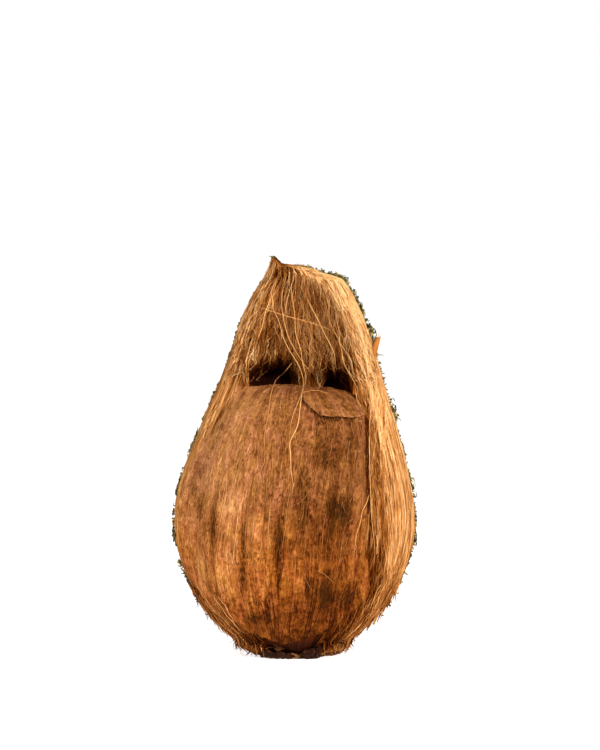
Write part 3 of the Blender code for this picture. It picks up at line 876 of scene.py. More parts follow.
class Front:
    """How far forward the husk and the nut come at each (x, z), on a grid.

    `depths` holds the y of the husk and of the nut, `depth` the one in front, and NOTHING where neither is.
    """

    STEP = 0.0005
    LOW = (-0.0740, 0.0040)
    COUNT = (297, 440)
    NOTHING = 1e6

    def __init__(self, *bodies):
        self.depths = []
        for tree in map(tree_of, bodies):
            depth = np.full(self.COUNT, self.NOTHING)
            for i in range(self.COUNT[0]):
                for j in range(self.COUNT[1]):
                    start = (self.LOW[0] + i * self.STEP, -0.2, self.LOW[1] + j * self.STEP)
                    place = tree.ray_cast(start, (0, 1, 0))[0]
                    if place:
                        depth[i, j] = place.y
            self.depths.append(depth)
        self.depth = np.minimum(*self.depths)

    def at(self, x, z, depth=None):
        """The depth at (x, z), and over 1 wherever nothing is there."""
        depth = self.depth if depth is None else depth
        across = np.clip((x - self.LOW[0]) / self.STEP, 0, self.COUNT[0] - 1.001)
        up = np.clip((z - self.LOW[1]) / self.STEP, 0, self.COUNT[1] - 1.001)
        i, j = across.astype(int), up.astype(int)
        s, t = across - i, up - j
        low = depth[i, j] * (1 - s) + depth[i + 1, j] * s
        high = depth[i, j + 1] * (1 - s) + depth[i + 1, j + 1] * s
        return low * (1 - t) + high * t

    def lay(self, x, z, lift, spans=3):
        """Routes laid on the front at (x, z), spanning its hollows, and which of them are wholly on it."""
        depth = self.at(x, z)
        laid = stretched(depth.T, spans).T
        return np.stack([x, laid - lift, z], -1), np.all(depth < 1, axis=1)

    def left_edge(self, height):
        """The x of the outline on the left at that height."""
        row = int(round((height - self.LOW[1]) / self.STEP))
        return self.LOW[0] + np.argmax(self.depth[:, row] < 1) * self.STEP

    def seam(self, side):
        """The x at which the nut meets the husk, on that side, at each height of the grid."""
        husk, nut = self.depths
        shown = nut < husk
        columns = np.arange(self.COUNT[0])[:, None]
        if side < 0:
            edge = np.where(shown, columns, self.COUNT[0]).min(0)
        else:
            edge = np.where(shown, columns, -1).max(0)
        heights = self.LOW[1] + np.arange(self.COUNT[1]) * self.STEP
        found = shown.any(0)
        return heights[found], self.LOW[0] + edge[found] * self.STEP


# ---- fibre -------------------------------------------------------------------------------------

ALONG = np.linspace(0, 1, FIBRE_POINTS)[None, :]


def curled(rng, x, z, heading, bend, lengths):
    """The x and z of short curls that start at (x, z). Heading is (middle, spread), from straight down."""
    count = len(x)
    turn = rng.normal(*heading, (count, 1)) + rng.normal(0, bend, (count, 1)) * (ALONG - 0.5)
    step = rng.uniform(*lengths, (count, 1)) / FIBRE_POINTS
    return x + np.cumsum(np.sin(turn) * step, axis=1), z - np.cumsum(np.cos(turn) * step, axis=1)


def wander(rng, count, amount):
    """A slow sideways drift along each fibre, from 0 at its start."""
    turns = rng.uniform(0.6, 1.8, (count, 1)) * math.pi
    phase = rng.uniform(0, 2 * math.pi, (count, 2))
    sway = np.sin(ALONG * turns + phase[:, :1]) + 0.35 * np.sin(ALONG * turns * 3 + phase[:, 1:])
    return amount * (sway - sway[:, :1])


def fibre_tone(rng, tone_of, routes, spread, clump=0.0):
    """Each fibre has the tone of the place where it lies, give or take its own, and its clump's."""
    flat = routes.reshape(-1, 3)
    tone = tone_of(flat)
    if clump:
        flow = husk_flow(flat)
        tone = tone + clump * (field(flow / (0.0026, 0.016, 1)) + 0.5 * field(flow / (0.0012, 0.007, 1)))
    return tone.reshape(routes.shape[:2]) + rng.normal(0, spread, (len(routes), 1)) + 0.05


def hood_stop(x):
    """How low the hood's fibres reach at each x: the nut's lip, or the top of a pocket."""
    lip = LIP_HEIGHT - LIP_SLOPE * (x - NUT_LEFT) + 0.001
    left = smooth(x, -0.0265, -0.0225) * smooth(-x, -0.0010, 0.0025)
    right = smooth(x, 0.0160, 0.0195) * smooth(-x, -0.0325, -0.0290)
    return lip + (0.1596 - lip) * left + (0.1570 - lip) * right


def hood_routes(rng, front, count, share_most, start_low, lengths, sway, lift):
    """Routes that fan out from under the tip, and which of them lie wholly on the hood."""
    start = 0.2190 - (0.2190 - start_low) * rng.random((count, 1)) ** 1.15
    length = rng.uniform(*lengths, (count, 1))
    share = rng.uniform(-share_most, share_most, (count, 1)) + wander(rng, count, sway)
    share = np.clip(share, -0.985, 0.985)
    end_side, end_middle = husk_side(start - length)
    stop = hood_stop(end_middle + share[:, -1:] * end_side) + rng.normal(0, 0.0026, (count, 1))
    length = np.minimum(length, start - stop)
    z = start - np.maximum(length, 0.0) * ALONG
    side, middle = husk_side(z)
    x = middle + share * side + wander(rng, count, 0.0005)
    routes, on_front = front.lay(x, z, lift)
    nut_depth = front.at(x, z, front.depths[1])
    clear = np.all(nut_depth > routes[:, :, 1] - 0.002, axis=1)
    return routes[on_front & clear & (length[:, 0] > 0.005)]


def make_hood_fibres(rng, front, material):
    """The hood's lining: close fibre that fans out from the tip, in tones from red-brown to tan."""
    count = 4300
    lift = rng.uniform(0.0000, 0.0006, (count, 1)) + 0.0016 * rng.random((count, 1)) ** 4
    routes = hood_routes(rng, front, count, 0.97, 0.158, (0.008, 0.030), 0.05, lift)[:3900]
    tone = fibre_tone(rng, hood_or_rim_tone, routes, 0.22, 0.78)
    radii = rng.uniform(0.00009, 0.00020, len(routes)) + 0.00018 * rng.random(len(routes)) ** 8
    return tubes("hood_fibres", routes, radii, tone, husk_flow, material)


def hood_or_rim_tone(points):
    """The rims' tone outside the hood's mouth and the hood's tone inside it."""
    rim = np.maximum(band_share(points), smooth(-husk_share(points), 0.70, 0.84))
    return hood_tone(points) * (1 - rim) + rim_tone(points) * rim


def make_hood_threads(rng, front, material):
    """Pale loose threads that stand off the hood's lining and cross each other."""
    count = 360
    lift = 0.0008 + 0.0050 * rng.random((count, 1)) ** 2 * np.sin(math.pi * (0.06 + 0.88 * ALONG))
    routes = hood_routes(rng, front, count, 0.74, 0.180, (0.014, 0.044), 0.07, lift)
    routes[:, :, 0] += wander(rng, len(routes), 0.0005)
    radii = rng.uniform(0.00008, 0.00019, len(routes))
    low_left = smooth(-routes[:, -1, 0], 0.008, 0.016) * smooth(-routes[:, -1, 2], -0.186, -0.172)
    # Threads that end in a pocket get the pocket's painted shade.
    dark = 0.30 * pocket_shade_share(routes[:, -1, 0], routes[:, -1, 2])
    tone = rng.normal(0.63, 0.14, len(routes)) - 0.16 * low_left - dark
    return tubes("hood_threads", routes, radii, tone, husk_flow, material)


def make_hood_tangle(rng, front, material):
    """Short pale curls of fibre that lie every way over the hood's lining, most of them on its right."""
    count = 300
    x = rng.normal(0.0120, 0.0100, (count, 1))
    z = rng.uniform(0.168, 0.209, (count, 1))
    x, z = curled(rng, x, z, (0.2, 0.75), 1.6, (0.005, 0.015))
    lift = 0.0008 + 0.0030 * rng.random((count, 1)) * np.sin(math.pi * (0.06 + 0.88 * ALONG))
    routes, on_front = front.lay(x, z, lift)
    inside = np.all(np.abs(husk_share(routes.reshape(-1, 3))).reshape(x.shape) < 0.72, axis=1)
    routes = routes[on_front & inside & np.all(z > hood_stop(x) + 0.002, axis=1)]
    tone = rng.normal(0.68, 0.13, len(routes))
    radii = rng.uniform(0.00008, 0.00016, len(routes))
    return tubes("hood_tangle", routes, radii, tone, husk_flow, material)


RIM_REACH = 0.0032  # how far from the rim's formula its true surface may lie and still carry fibre


def make_rim_fibres(rng, name, side, count, lowest, tree, material):
    """Fibres along the torn face between the nut and the skin's edge, on one side."""
    angle = FRONT + side * rng.uniform(0.35, 1.58, (count, 1)) + wander(rng, count, 0.012)
    start = np.radians(rng.uniform(lowest, 84, (count, 1)))
    length = rng.uniform(0.014, 0.050, (count, 1))
    climb = np.clip(start - length / 0.11 * ALONG, math.radians(-74), math.radians(88))
    lift = rng.uniform(0.0000, 0.0002, (count, 1)) + 0.0008 * rng.random((count, 1)) ** 7
    wanted = husk_points(angle, climb)
    routes = np.empty_like(wanted)
    kept = np.ones(count, bool)
    for k in range(count):
        for step in range(FIBRE_POINTS):
            place, normal, _, away = tree.find_nearest(wanted[k, step].tolist())
            kept[k] = kept[k] and away < RIM_REACH
            routes[k, step] = place + normal * lift[k, 0]
    routes = routes[kept]
    tone = fibre_tone(rng, rim_tone, routes, 0.14, 0.22)
    radii = rng.uniform(0.00009, 0.00022, len(routes)) + 0.00016 * rng.random(len(routes)) ** 8
    return tubes(name, routes, radii, tone, husk_flow, material)


def make_nut_fibres(rng, front, material):
    """Sparse fine threads on the nut: every way near the lip, and along the nut below."""
    count = 1900
    angle = rng.uniform(-math.pi, 0, (count, 1))
    climb = np.arcsin(rng.uniform(-0.97, 0.99, (count, 1)))
    length = rng.uniform(0.004, 0.022, (count, 1))
    felt = smooth(np.sin(climb), 0.35, 0.75)
    heading = rng.normal(0, 1, (count, 1)) * (0.10 + 0.9 * felt)
    climbs = climb - length * (1 - 0.5 * felt) / 0.08 * np.cos(heading) * (ALONG - 0.5)
    angles = angle + length * (1 - 0.5 * felt) / 0.05 * np.sin(heading) * (ALONG - 0.5)
    angles = angles + wander(rng, count, 0.010)
    climbs = np.clip(climbs, math.radians(-80), math.radians(88))
    relief = nut_relief(angles.ravel(), climbs.ravel()).reshape(angles.shape)
    routes = nut_points(angles, climbs, rng.uniform(0.0000, 0.0002, (count, 1)) - relief * 0.8)
    surface = front.at(routes[:, :, 0], routes[:, :, 2])
    routes = routes[np.all(routes[:, :, 1] < surface + 0.0006, axis=1)]
    tone = fibre_tone(rng, lambda points: nut_tone(points) - 0.4 * nut_stain(points), routes, 0.13)
    radii = rng.uniform(0.00006, 0.00013, len(routes))
    return tubes("nut_fibres", routes, radii, tone + 0.04, nut_flow, material)


def make_nut_threads(rng, front, material):
    """Loose pale threads that lie on the felt, mostly downwards, and curve every way."""
    count = 120
    x = rng.uniform(-0.052, 0.040, (count, 1))
    z = rng.uniform(0.030, 0.150, (count, 1))
    x, z = curled(rng, x, z, (0, 0.55), 1.1, (0.004, 0.020))
    routes, on_front = front.lay(x, z, rng.uniform(0.0002, 0.0006, (count, 1)))
    felt = np.all(front.at(x, z, front.depths[1]) < front.at(x, z, front.depths[0]), axis=1)
    routes = routes[on_front & felt]
    tone = rng.normal(0.62, 0.10, len(routes))
    radii = rng.uniform(0.00006, 0.00013, len(routes))
    return tubes("nut_threads", routes, radii, tone, nut_flow, material)


# The dark groove between the nut and the strip of husk on its right: (x, z) from its top.
GROOVE = ((0.0412, 0.1500), (0.0411, 0.1400), (0.0410, 0.1270), (0.0412, 0.1130), (0.0416, 0.1000),
          (0.0428, 0.0850), (0.0440, 0.0700), (0.0444, 0.0550), (0.0434, 0.0420))


def groove_x(z):
    """The groove's x at a height."""
    x, height = np.array(GROOVE)[::-1].T
    return np.interp(z, height, x)


def line_routes(rng, front, line, count, heights, lengths, across, lift):
    """Routes that run down beside a line x = line(z), on the front."""
    start = rng.uniform(*heights, (count, 1))
    z = np.maximum(start - rng.uniform(*lengths, (count, 1)) * ALONG, 0.010)
    x = line(z) + rng.uniform(*across, (count, 1)) + wander(rng, count, 0.0006)
    routes, on_front = front.lay(x, z, rng.uniform(*lift, (count, 1)))
    return routes[on_front]


def make_seam_fibres(rng, front, material):
    """Fibre that lies along the seams between the nut and the husk, and laps over the nut on the right."""
    heights, edges = front.seam(-1)

    def left_seam(z):
        return np.interp(z, heights, edges)

    runs = (
        (left_seam, 50, (0.132, 0.148), (0.008, 0.018), (-0.005, 0.001), (0.0001, 0.0004)),
        (left_seam, 200, (0.012, 0.050), (0.010, 0.030), (-0.003, 0.002), (0.0001, 0.0006)),
        (groove_x, 1000, (0.044, 0.158), (0.010, 0.036), (0.0007, 0.0110), (0.0002, 0.0010)),
    )
    routes = np.concatenate([line_routes(rng, front, *run) for run in runs])
    tone = fibre_tone(rng, rim_tone, routes, 0.17, 0.25)
    radii = rng.uniform(0.00010, 0.00026, len(routes))
    return tubes("seam_fibres", routes, radii, tone, husk_flow, material)


def make_groove_shade_fibres(rng, front, material):
    """Near-black fibre packed along the groove: painted shade for the shadowed gap between the nut and the
    husk.
    """
    run = (groove_x, 120, (0.092, 0.150), (0.012, 0.026), (-0.0006, 0.0005), (0.0001, 0.0004))
    routes = line_routes(rng, front, *run)
    # Tones near 0: painted shade in the groove.
    tone = rng.uniform(0.00, 0.16, len(routes))
    radii = rng.uniform(0.00022, 0.00040, len(routes))
    return tubes("groove_shade_fibres", routes, radii, tone, husk_flow, material)


def sheet(name, points, thickness, material, flow_of, **values):
    """A closed thin sheet from a grid of points (column, row, xyz), thickened towards the back."""
    columns, rows = points.shape[:2]
    back = points + np.array([0, thickness, 0])
    both = np.concatenate([points.reshape(-1, 3), back.reshape(-1, 3)])
    index = np.arange(columns * rows).reshape(columns, rows)
    faces = np.stack([index[:-1, :-1], index[1:, :-1], index[1:, 1:], index[:-1, 1:]], -1).reshape(-1, 4)
    rim = np.concatenate([index[:-1, 0], index[-1, :-1], index[:0:-1, -1], index[0, :0:-1]])
    after = np.roll(rim, -1)
    far = columns * rows
    walls = np.stack([rim, rim + far, after + far, after], -1)
    mesh = mesh_from(name, inside_frame(both), [faces, faces[:, ::-1] + far, walls])
    doubled = {key: np.tile(np.ravel(numbers), 2) for key, numbers in values.items()}
    write_values(mesh, flow_of(both), **doubled)
    return link(name, mesh, material)


def lapped_felt(name, x, z, spanned, fade, thickness, material):
    """A sheet of the nut's felt laid on those depths, whose edges are sunk where fade is 0."""
    ripple = 0.00022 * streaks(x.ravel() * 20, z.ravel(), 24, 22, 26).reshape(x.shape)
    y = spanned - 0.00030 * fade + 0.00025 * (1 - fade) + ripple
    points = np.stack([x, y, z], -1)
    flat = points.reshape(-1, 3)
    return sheet(name, points, thickness, material, nut_flow, tone=nut_tone(flat), stain=nut_stain(flat))


def make_left_felt(front, material):
    """The nut's felt where it laps over the husk's rim on the left, and hides the seam."""
    heights = np.linspace(0.016, 0.1530, 150)
    seam_heights, seam = front.seam(-1)
    edge = np.interp(heights, seam_heights, seam)
    silhouette = np.array([front.left_edge(height) for height in heights])
    upper = smooth(heights, 0.100, 0.140)
    low = np.maximum(silhouette + 0.0012 + 0.007 * upper, edge - 0.014 - 0.008 * upper)
    high = edge + 0.006 + 0.010 * upper
    across = np.linspace(0, 1, 36)[:, None]
    x = low + (high - low) * across
    z = np.broadcast_to(heights, x.shape)
    fade = smooth(across, 0.0, 0.12) * smooth(1 - across, 0.0, 0.12)
    fade = fade * smooth(heights, 0.016, 0.024) * smooth(-heights, -0.153, -0.147)
    return lapped_felt("left_felt", x, z, stretched(front.at(x, z), 700), fade, 0.0006, material)


# The torn lower edge of the felt at the foot, from left to right: (x, z).
LOW_FELT_EDGE = ((-0.0430, 0.0370), (-0.0398, 0.0325), (-0.0330, 0.0235), (-0.0269, 0.0178),
                 (-0.0180, 0.0146), (-0.0067, 0.0100), (0.0034, 0.0124), (0.0135, 0.0157),
                 (0.0236, 0.0180), (0.0340, 0.0228), (0.0425, 0.0290))


def make_low_felt(front, material):
    """The nut's felt where it laps over the husk's cup in front, down to a torn edge."""
    columns, rows = 130, 40
    edge_x, edge_z = smooth_route(np.array(LOW_FELT_EDGE), columns).T
    ragged = 0.0011 * field(np.stack([edge_x * 260, edge_x * 0, edge_x * 0 + 4], -1))
    up = np.linspace(0, 1, rows)[None, :]
    low = (edge_z + ragged)[:, None]
    z = low + (0.060 - low) * up
    x = np.broadcast_to(edge_x[:, None], z.shape)
    ends = smooth(edge_x, -0.043, -0.038)[:, None] * smooth(-edge_x, -0.0425, -0.0375)[:, None]
    fade = ends * smooth(1 - up, 0.0, 0.12)
    lifted = 0.0009 * ends * (1 - up) ** 8
    spanned = stretched(front.at(x, z), 250, both_ways=True) - lifted
    return lapped_felt("low_felt", x, z, spanned, fade, 0.0005, material)


# The lower edge of the flap of felt that has lifted on the right of the lip: (x, z).
FLAP_EDGE = ((0.0040, 0.1490), (0.0060, 0.1464), (0.0105, 0.1423), (0.0150, 0.1389), (0.0217, 0.1378),
             (0.0240, 0.1380), (0.0307, 0.1370), (0.0344, 0.1368), (0.0412, 0.1374))


def make_felt_flap(front, material):
    """A flap of felt under the lip on the right, whose lower edge has curled outwards."""
    columns, rows = 120, 26
    edge_x, edge_z = smooth_route(np.array(FLAP_EDGE), columns).T
    top = LIP_HEIGHT - LIP_SLOPE * (edge_x - NUT_LEFT) - 0.0045
    across = np.linspace(0, 1, columns)
    up = np.linspace(0, 1, rows)[None, :]
    low = edge_z + 0.0005 * field(np.stack([edge_x * 700, edge_x * 0, edge_x * 0 + 2], -1))
    x = np.broadcast_to(edge_x[:, None], (columns, rows))
    z = low[:, None] + (top - low)[:, None] * up
    ends = smooth(across, 0.0, 0.12) * smooth(-across, -1.0, -0.92)
    curl = 0.0034 * (1 - up) ** 3 * ends[:, None]
    sunk = 0.0006 * np.maximum(smooth(up, 0.55, 1.0), 1 - ends[:, None])
    y = front.at(x, z) - 0.0002 - curl + sunk
    points = np.stack([x, y, z], -1)
    flat = points.reshape(-1, 3)
    # Paler by 0.06 all over, and much paler towards the curled lower edge: partly the felt's own colour and
    # partly a painted highlight where light catches the edge.
    pale_edge_tone = nut_tone(flat) + 0.06 + 0.22 * np.broadcast_to(np.exp(-up * 14), x.shape).ravel()
    return sheet("felt_flap", points, 0.00035, material, nut_flow, tone=pale_edge_tone, stain=flat[:, 0] * 0)


# The long strands, in millimetres: each is a list of (x, z, how far it stands off what is behind it).
# The last three are frayed cords at the foot, on the left.
STRANDS_MM = (
    ((-9.5, 213, 0.5), (-12.3, 198.5, 3), (-8.4, 188.5, 7), (-5.5, 179, 10), (-1, 170, 13),
     (2.2, 164.5, 15), (5, 157, 9), (5.2, 152, 0.8), (3.4, 148, 0.3), (0, 140.5, 0.3),
     (-1.2, 136, 0.3), (-1.8, 130.5, 0.3), (-2.8, 119.5, 0.3)),
    ((4.5, 150, 0.6), (3.5, 142, 0.4), (1.7, 133, 0.4), (-1.6, 125, 0.4), (-2, 118, 0.4),
     (-1.7, 111, 0.4), (-0.8, 105, 0.3), (-0.6, 100, 0.1)),
    ((-2, 212, 0.5), (0, 196, 4), (0.6, 184.6, 8), (2.8, 176, 12), (4.5, 168, 14), (6.2, 159.3, 11),
     (5.7, 152.5, 1)),
    ((-1, 165, 13), (-3.6, 162, 14), (-6.7, 158, 10), (-10, 154.8, 3), (-11.8, 152, 0.6),
     (-13.5, 146.5, 0.3), (-14.6, 136, 0.3), (-15.6, 130.5, 0.3), (-16.3, 114, 0.2)),
    ((13, 204, 0.5), (20.5, 188, 2), (25.8, 175, 5), (27.5, 167.7, 7), (30.3, 160.4, 7),
     (34, 154.8, 3), (36.5, 150, 0.5)),
    ((-21, 197.5, 0.4), (-17.4, 196.4, 3), (-8.4, 193, 8), (1, 190.2, 12), (10, 187.4, 9),
     (20.8, 183.4, 3), (26, 180, 0.5)),
    ((11.2, 204, 0.6), (15, 198.5, 1.2), (19, 196.8, 1.4), (23.5, 197.2, 0.6)),
    ((44, 158, 0.6), (43.2, 148, 0.8), (42.4, 133, 1), (42, 120, 1), (42, 105, 1), (42.7, 94, 1),
     (43.7, 78, 1), (44.9, 63, 0.8), (44.6, 50, 0.3)),
    ((51, 145, 0.4), (48.2, 138, 0.8), (45.8, 126, 1), (44.4, 115, 1), (43.2, 106, 0.8),
     (42.4, 98, 0.3)),
    ((42.4, 98, 0.4), (40.8, 90, 0.3), (37.8, 82, 0.2), (35.2, 72, 0.2), (33, 60, 0.1)),
    ((5, 150.5, 0.8), (10, 151.4, 0.7), (15.7, 150.8, 0.6), (19, 148.5, 0.3)),
    ((-8, 212, 0.5), (-15, 196, 2), (-18.5, 184, 3), (-21.5, 174, 2), (-24, 165, 0.5)),
    ((-5.5, 210, 1), (-7, 196, 5), (-4, 183, 8), (0, 173, 9), (6, 164, 6), (12, 157, 1)),
    ((3, 210, 1), (9, 197, 4), (15, 186, 6), (20, 176, 7), (23, 168, 4), (24, 161, 1)),
    ((-44.5, 36, 0.4), (-40, 30, 1), (-36, 24.5, 1.4), (-31.5, 19.5, 1.2), (-27, 15, 0.8)),
    ((-42, 37, 0.4), (-37.5, 30.5, 1.2), (-34.5, 25, 1.6), (-32.5, 20, 1.2), (-29, 15, 0.8)),
    ((-50, 36, 0.4), (-45.5, 29, 1.2), (-40, 23.5, 1.2), (-34, 18, 1), (-28, 12.5, 0.6)),
)
STRAND_POINTS = 60


def smooth_route(points, steps):
    """That many points along a Catmull-Rom curve through the given ones."""
    padded = np.array([2 * points[0] - points[1], *points, 2 * points[-1] - points[-2]])
    place = np.linspace(0, len(points) - 1, steps)
    index = np.minimum(place.astype(int), len(points) - 2)
    t = (place - index)[:, None]
    a, b, c, d = (padded[index + k] for k in range(4))
    return (2 * b + (c - a) * t + (2 * a - 5 * b + 4 * c - d) * t**2 + (3 * b - a - 3 * c + d) * t**3) / 2


def make_strands(rng, front, material):
    """The long strands that hang from the hood over the nut's lip, and lie in the groove on the right."""
    routes = []
    for stations in STRANDS_MM:
        x, z, off = smooth_route(np.array(stations) / 1000, STRAND_POINTS).T
        lift = np.maximum(off, 0.0002) + 0.0002
        routes.append(front.lay(x[None], z[None], lift[None], spans=30)[0][0])
    routes = np.array(routes)
    bend = np.linspace(0, 1, STRAND_POINTS)
    for route in routes:
        route[:, 0] += 0.00025 * np.sin(bend * rng.uniform(14, 22) + rng.uniform(0, 6))
    routes[:, :, 1] = np.maximum(routes[:, :, 1], CAD_LOW.y + 0.0004)
    radii = rng.uniform(0.00015, 0.00026, len(routes))
    radii[[0, 1, 2, 3, 5]] = (0.00019, 0.00031, 0.00026, 0.00025, 0.00020)
    tone = rng.uniform(0.66, 0.84, len(routes))
    tone[5] = 0.74
    return tubes("loose_strands", routes, radii, tone, husk_flow, material, tip=0.35, sides=6)


# ---- the skin's ragged edge and the base -------------------------------------------------------


def edge_places(rng, side, climb, out):
    """Places along one edge of the skin, with the directions out of it and up along it."""
    angle = (0.0 if side > 0 else math.pi) + rng.normal(0.01, 0.04, len(climb)) * side
    places = husk_points(angle, climb, out)
    outward = husk_points(angle, climb, out + 0.001) - places
    upward = husk_points(angle, climb + 0.01, out) - places
    return places, unit(outward), unit(upward)


# Where crisp skin has curled up in clumps on the right edge, in degrees of climb.
FRINGE_CLUMPS = (
    77, 72, 70, 69, 67, 66, 64, 62, 60, 53, 53, 47, 47, 39, 38, 37, 36, 34, 12.7, 12.7, -9.5, -18.7, -24,
)


def make_skin_fringe(rng, material):
    """Chips and crumbs of dark skin all along both edges, in thick clusters high on the right.

    Each run is: side, count, where its clumps are, their spread, how far out, greatest size, and how far
    in it starts.
    """
    places, directions, lengths, widths, tones = [], [], [], [], []
    runs = (
        (-1, 700, rng.uniform(-58, 86, 60), 1.1, 0.0004, 0.0024, 0.0007),
        (1, 620, rng.uniform(-60, 86, 60), 1.1, 0.0004, 0.0026, 0.0007),
        (1, 420, FRINGE_CLUMPS, 1.6, 0.0010, 0.0032, 0.0007),
    )
    for side, count, clumps, spread, out, size, inset in runs:
        climb = np.radians(np.clip(rng.choice(clumps, count) + rng.normal(0, spread, count), -60, 87))
        reach = np.abs(rng.normal(0, out, count)) - inset
        place, outward, upward = edge_places(rng, side, climb, reach)
        places.append(place)
        lean = rng.normal(0.5, 0.9, (count, 1))
        directions.append(outward * rng.uniform(0.0, 0.5, (count, 1)) + upward * lean)
        lengths.append(size * rng.uniform(0.35, 1.0, count))
        widths.append(size * rng.uniform(0.35, 0.75, count))
        tones.append(rng.beta(1.8, 1.9, count) * 0.95)
    joined = [np.concatenate(values) for values in (places, directions, lengths, widths, tones)]
    return crumbs("skin_fringe", rng, *joined, material)


def make_edge_curls(rng, material):
    """Curled bits of skin and stiff fibre ends that stand out of the skin's edges.

    Each run is: side, count, lowest and highest climb in degrees, greatest length, middle radius.
    """
    routes, radii, tones = [], [], []
    runs = (
        (-1, 14, -60, 82, 0.0011, 0.00032),
        (1, 30, -60, 84, 0.0016, 0.00036),
        (1, 60, 12, 68, 0.0022, 0.00042),
        (-1, 26, -60, -30, 0.0028, 0.00040),
        (1, 24, -60, -34, 0.0040, 0.00048),
        (-1, 6, 84, 88, 0.0018, 0.00050),
    )
    for side, count, low, high, size, radius in runs:
        climb = np.radians(rng.uniform(low, high, count))
        place, outward, upward = edge_places(rng, side, climb, np.full(count, -0.0005))
        lean = rng.normal(0.6, 1.0, (count, 1)) * np.where(climb > -0.3, 1, -1)[:, None]
        heading = unit(outward + upward * lean)
        curl = np.cross(heading, np.array([0, 1, 0])) * rng.normal(0, 0.9, (count, 1))
        length = size * rng.uniform(0.35, 1.0, (count, 1, 1))
        t = ALONG[:, :, None]
        routes.append(place[:, None] + length * (heading[:, None] * np.sin(t * 1.8) + curl[:, None] * t**2))
        radii.append(radius * rng.uniform(0.6, 1.3, count))
        tones.append(rng.uniform(0.25, 0.85, count))
    joined = [np.concatenate(values) for values in (routes, radii, tones)]
    return tubes("edge_curls", *joined, husk_flow, material, tip=0.3, sides=4)


def make_edge_loops(rng, material):
    """Crisp loops of dry skin, curled over and stuck in clusters to the edge high on the right."""
    count = 150
    climb = np.radians(rng.choice(FRINGE_CLUMPS, count) + rng.normal(0, 1.6, count))
    away = rng.uniform(-0.0006, 0.0012, count) + 0.0012 * bell(climb, math.radians(37), 0.08)
    centre, outward, upward = edge_places(rng, 1, climb, away)
    size = rng.uniform(0.0006, 0.0017, (count, 1, 1))
    turn = rng.uniform(0, 2 * math.pi, (count, 1)) + rng.uniform(1.4, 4.4, (count, 1)) * ALONG
    tilt = rng.normal(0, 0.5, (count, 1))
    along = np.cos(turn)[:, :, None] * outward[:, None] + np.sin(turn)[:, :, None] * upward[:, None]
    sunk = (np.sin(turn) * tilt)[:, :, None] * np.array([0, 1, 0])
    routes = centre[:, None] + size * rng.uniform(0.8, 1.3, (count, 1, 1)) * (along + sunk)
    radii = rng.uniform(0.00018, 0.00040, count)
    tone = rng.beta(1.5, 1.6, count)
    return tubes("edge_loops", routes, radii, tone, husk_flow, material, tip=0.4, sides=4)


def make_sliver(material):
    """The split sliver that has sprung up from the right edge of the hood."""
    root = husk_points(np.array([0.0]), np.radians([33.0]))
    stations = root + np.array([
        (-0.0046, -0.0020, -0.0150),
        (-0.0020, -0.0030, -0.0080),
        (0.0004, -0.0032, -0.0005),
        (0.0030, -0.0030, 0.0082),
    ])
    steps = 24
    fan = np.array([(0.0, 0.0, 0.0), (-0.0006, 0.0003, -0.0004), (0.0006, 0.0002, 0.0006)])
    routes = smooth_route(stations, steps)[None] + fan[:, None]
    routes[1:, :, 0] += np.array([-0.0006, 0.0008])[:, None] * np.linspace(0, 1, steps) ** 2
    radii = np.array([0.0021, 0.0012, 0.0011])
    tone = np.array([0.50, 0.44, 0.56])
    return tubes("edge_sliver", routes, radii, tone, husk_flow, material, tip=0.05, sides=7)


def make_base_fibres(rng, tree, material):
    """Frayed fibre round the foot, which hangs over the scales and sticks out on both sides."""
    count = 1150
    side = rng.choice([-1, 1], (count, 1))
    angle = FRONT + side * (1.64 - 1.16 * rng.random((count, 1)) ** 1.3) + wander(rng, count, 0.022)
    start = np.radians(rng.uniform(-70, -38, (count, 1)))
    length = rng.uniform(0.006, 0.018, (count, 1))
    lowest = np.radians(rng.uniform(-75, -64, (count, 1)))
    climb = np.maximum(start - length / 0.085 * ALONG, np.minimum(lowest, start - 0.02 * ALONG))
    flare = rng.random((count, 1)) ** 5 * 0.0040
    over_scales = 0.0022 * smooth(-climb, math.radians(64), math.radians(69))
    out = 0.0004 + flare * ALONG**2 + over_scales
    routes = husk_points(angle, climb, out)
    routes[:, :, 2] += flare * 0.3 * ALONG**2
    kept = np.zeros(count, bool)
    for k in range(count):
        inside = False
        for step in range(FIBRE_POINTS):
            place, normal = tree.find_nearest(routes[k, step].tolist())[:2]
            offset = Vector(routes[k, step].tolist()) - place
            if offset.dot(normal) < 0.0001:
                routes[k, step] = place + normal * 0.0002
                inside = inside or offset.length > 0.006
        kept[k] = not inside
    routes = routes[kept]
    radii = rng.uniform(0.00012, 0.00034, len(routes))
    tone = fibre_tone(rng, rim_tone, routes, 0.16, 0.22) + 0.02
    return tubes("base_fibres", routes, radii, tone, husk_flow, material)


SCALE_COUNT = 6
SCALE_THICK = 0.0018
SCAR_RADIUS = 0.018


def make_calyx(material):
    """Worn leathery scales round the flat stem scar that the coconut stands on."""
    bm = bmesh.new()
    for index in range(SCALE_COUNT):
        add_scale(bm, index)
    add_scar(bm)
    mesh = mesh_of("calyx_scales", bm)
    points = mesh_points(mesh)
    pale_edge_tone = 0.16 * smooth(points[:, 2], 0.010, 0.0135) - 0.10 + 0.3 * (points[:, 2] < 0.0008)
    write_values(mesh, husk_flow(points), tone=pale_edge_tone)
    return link("calyx_scales", mesh, material)


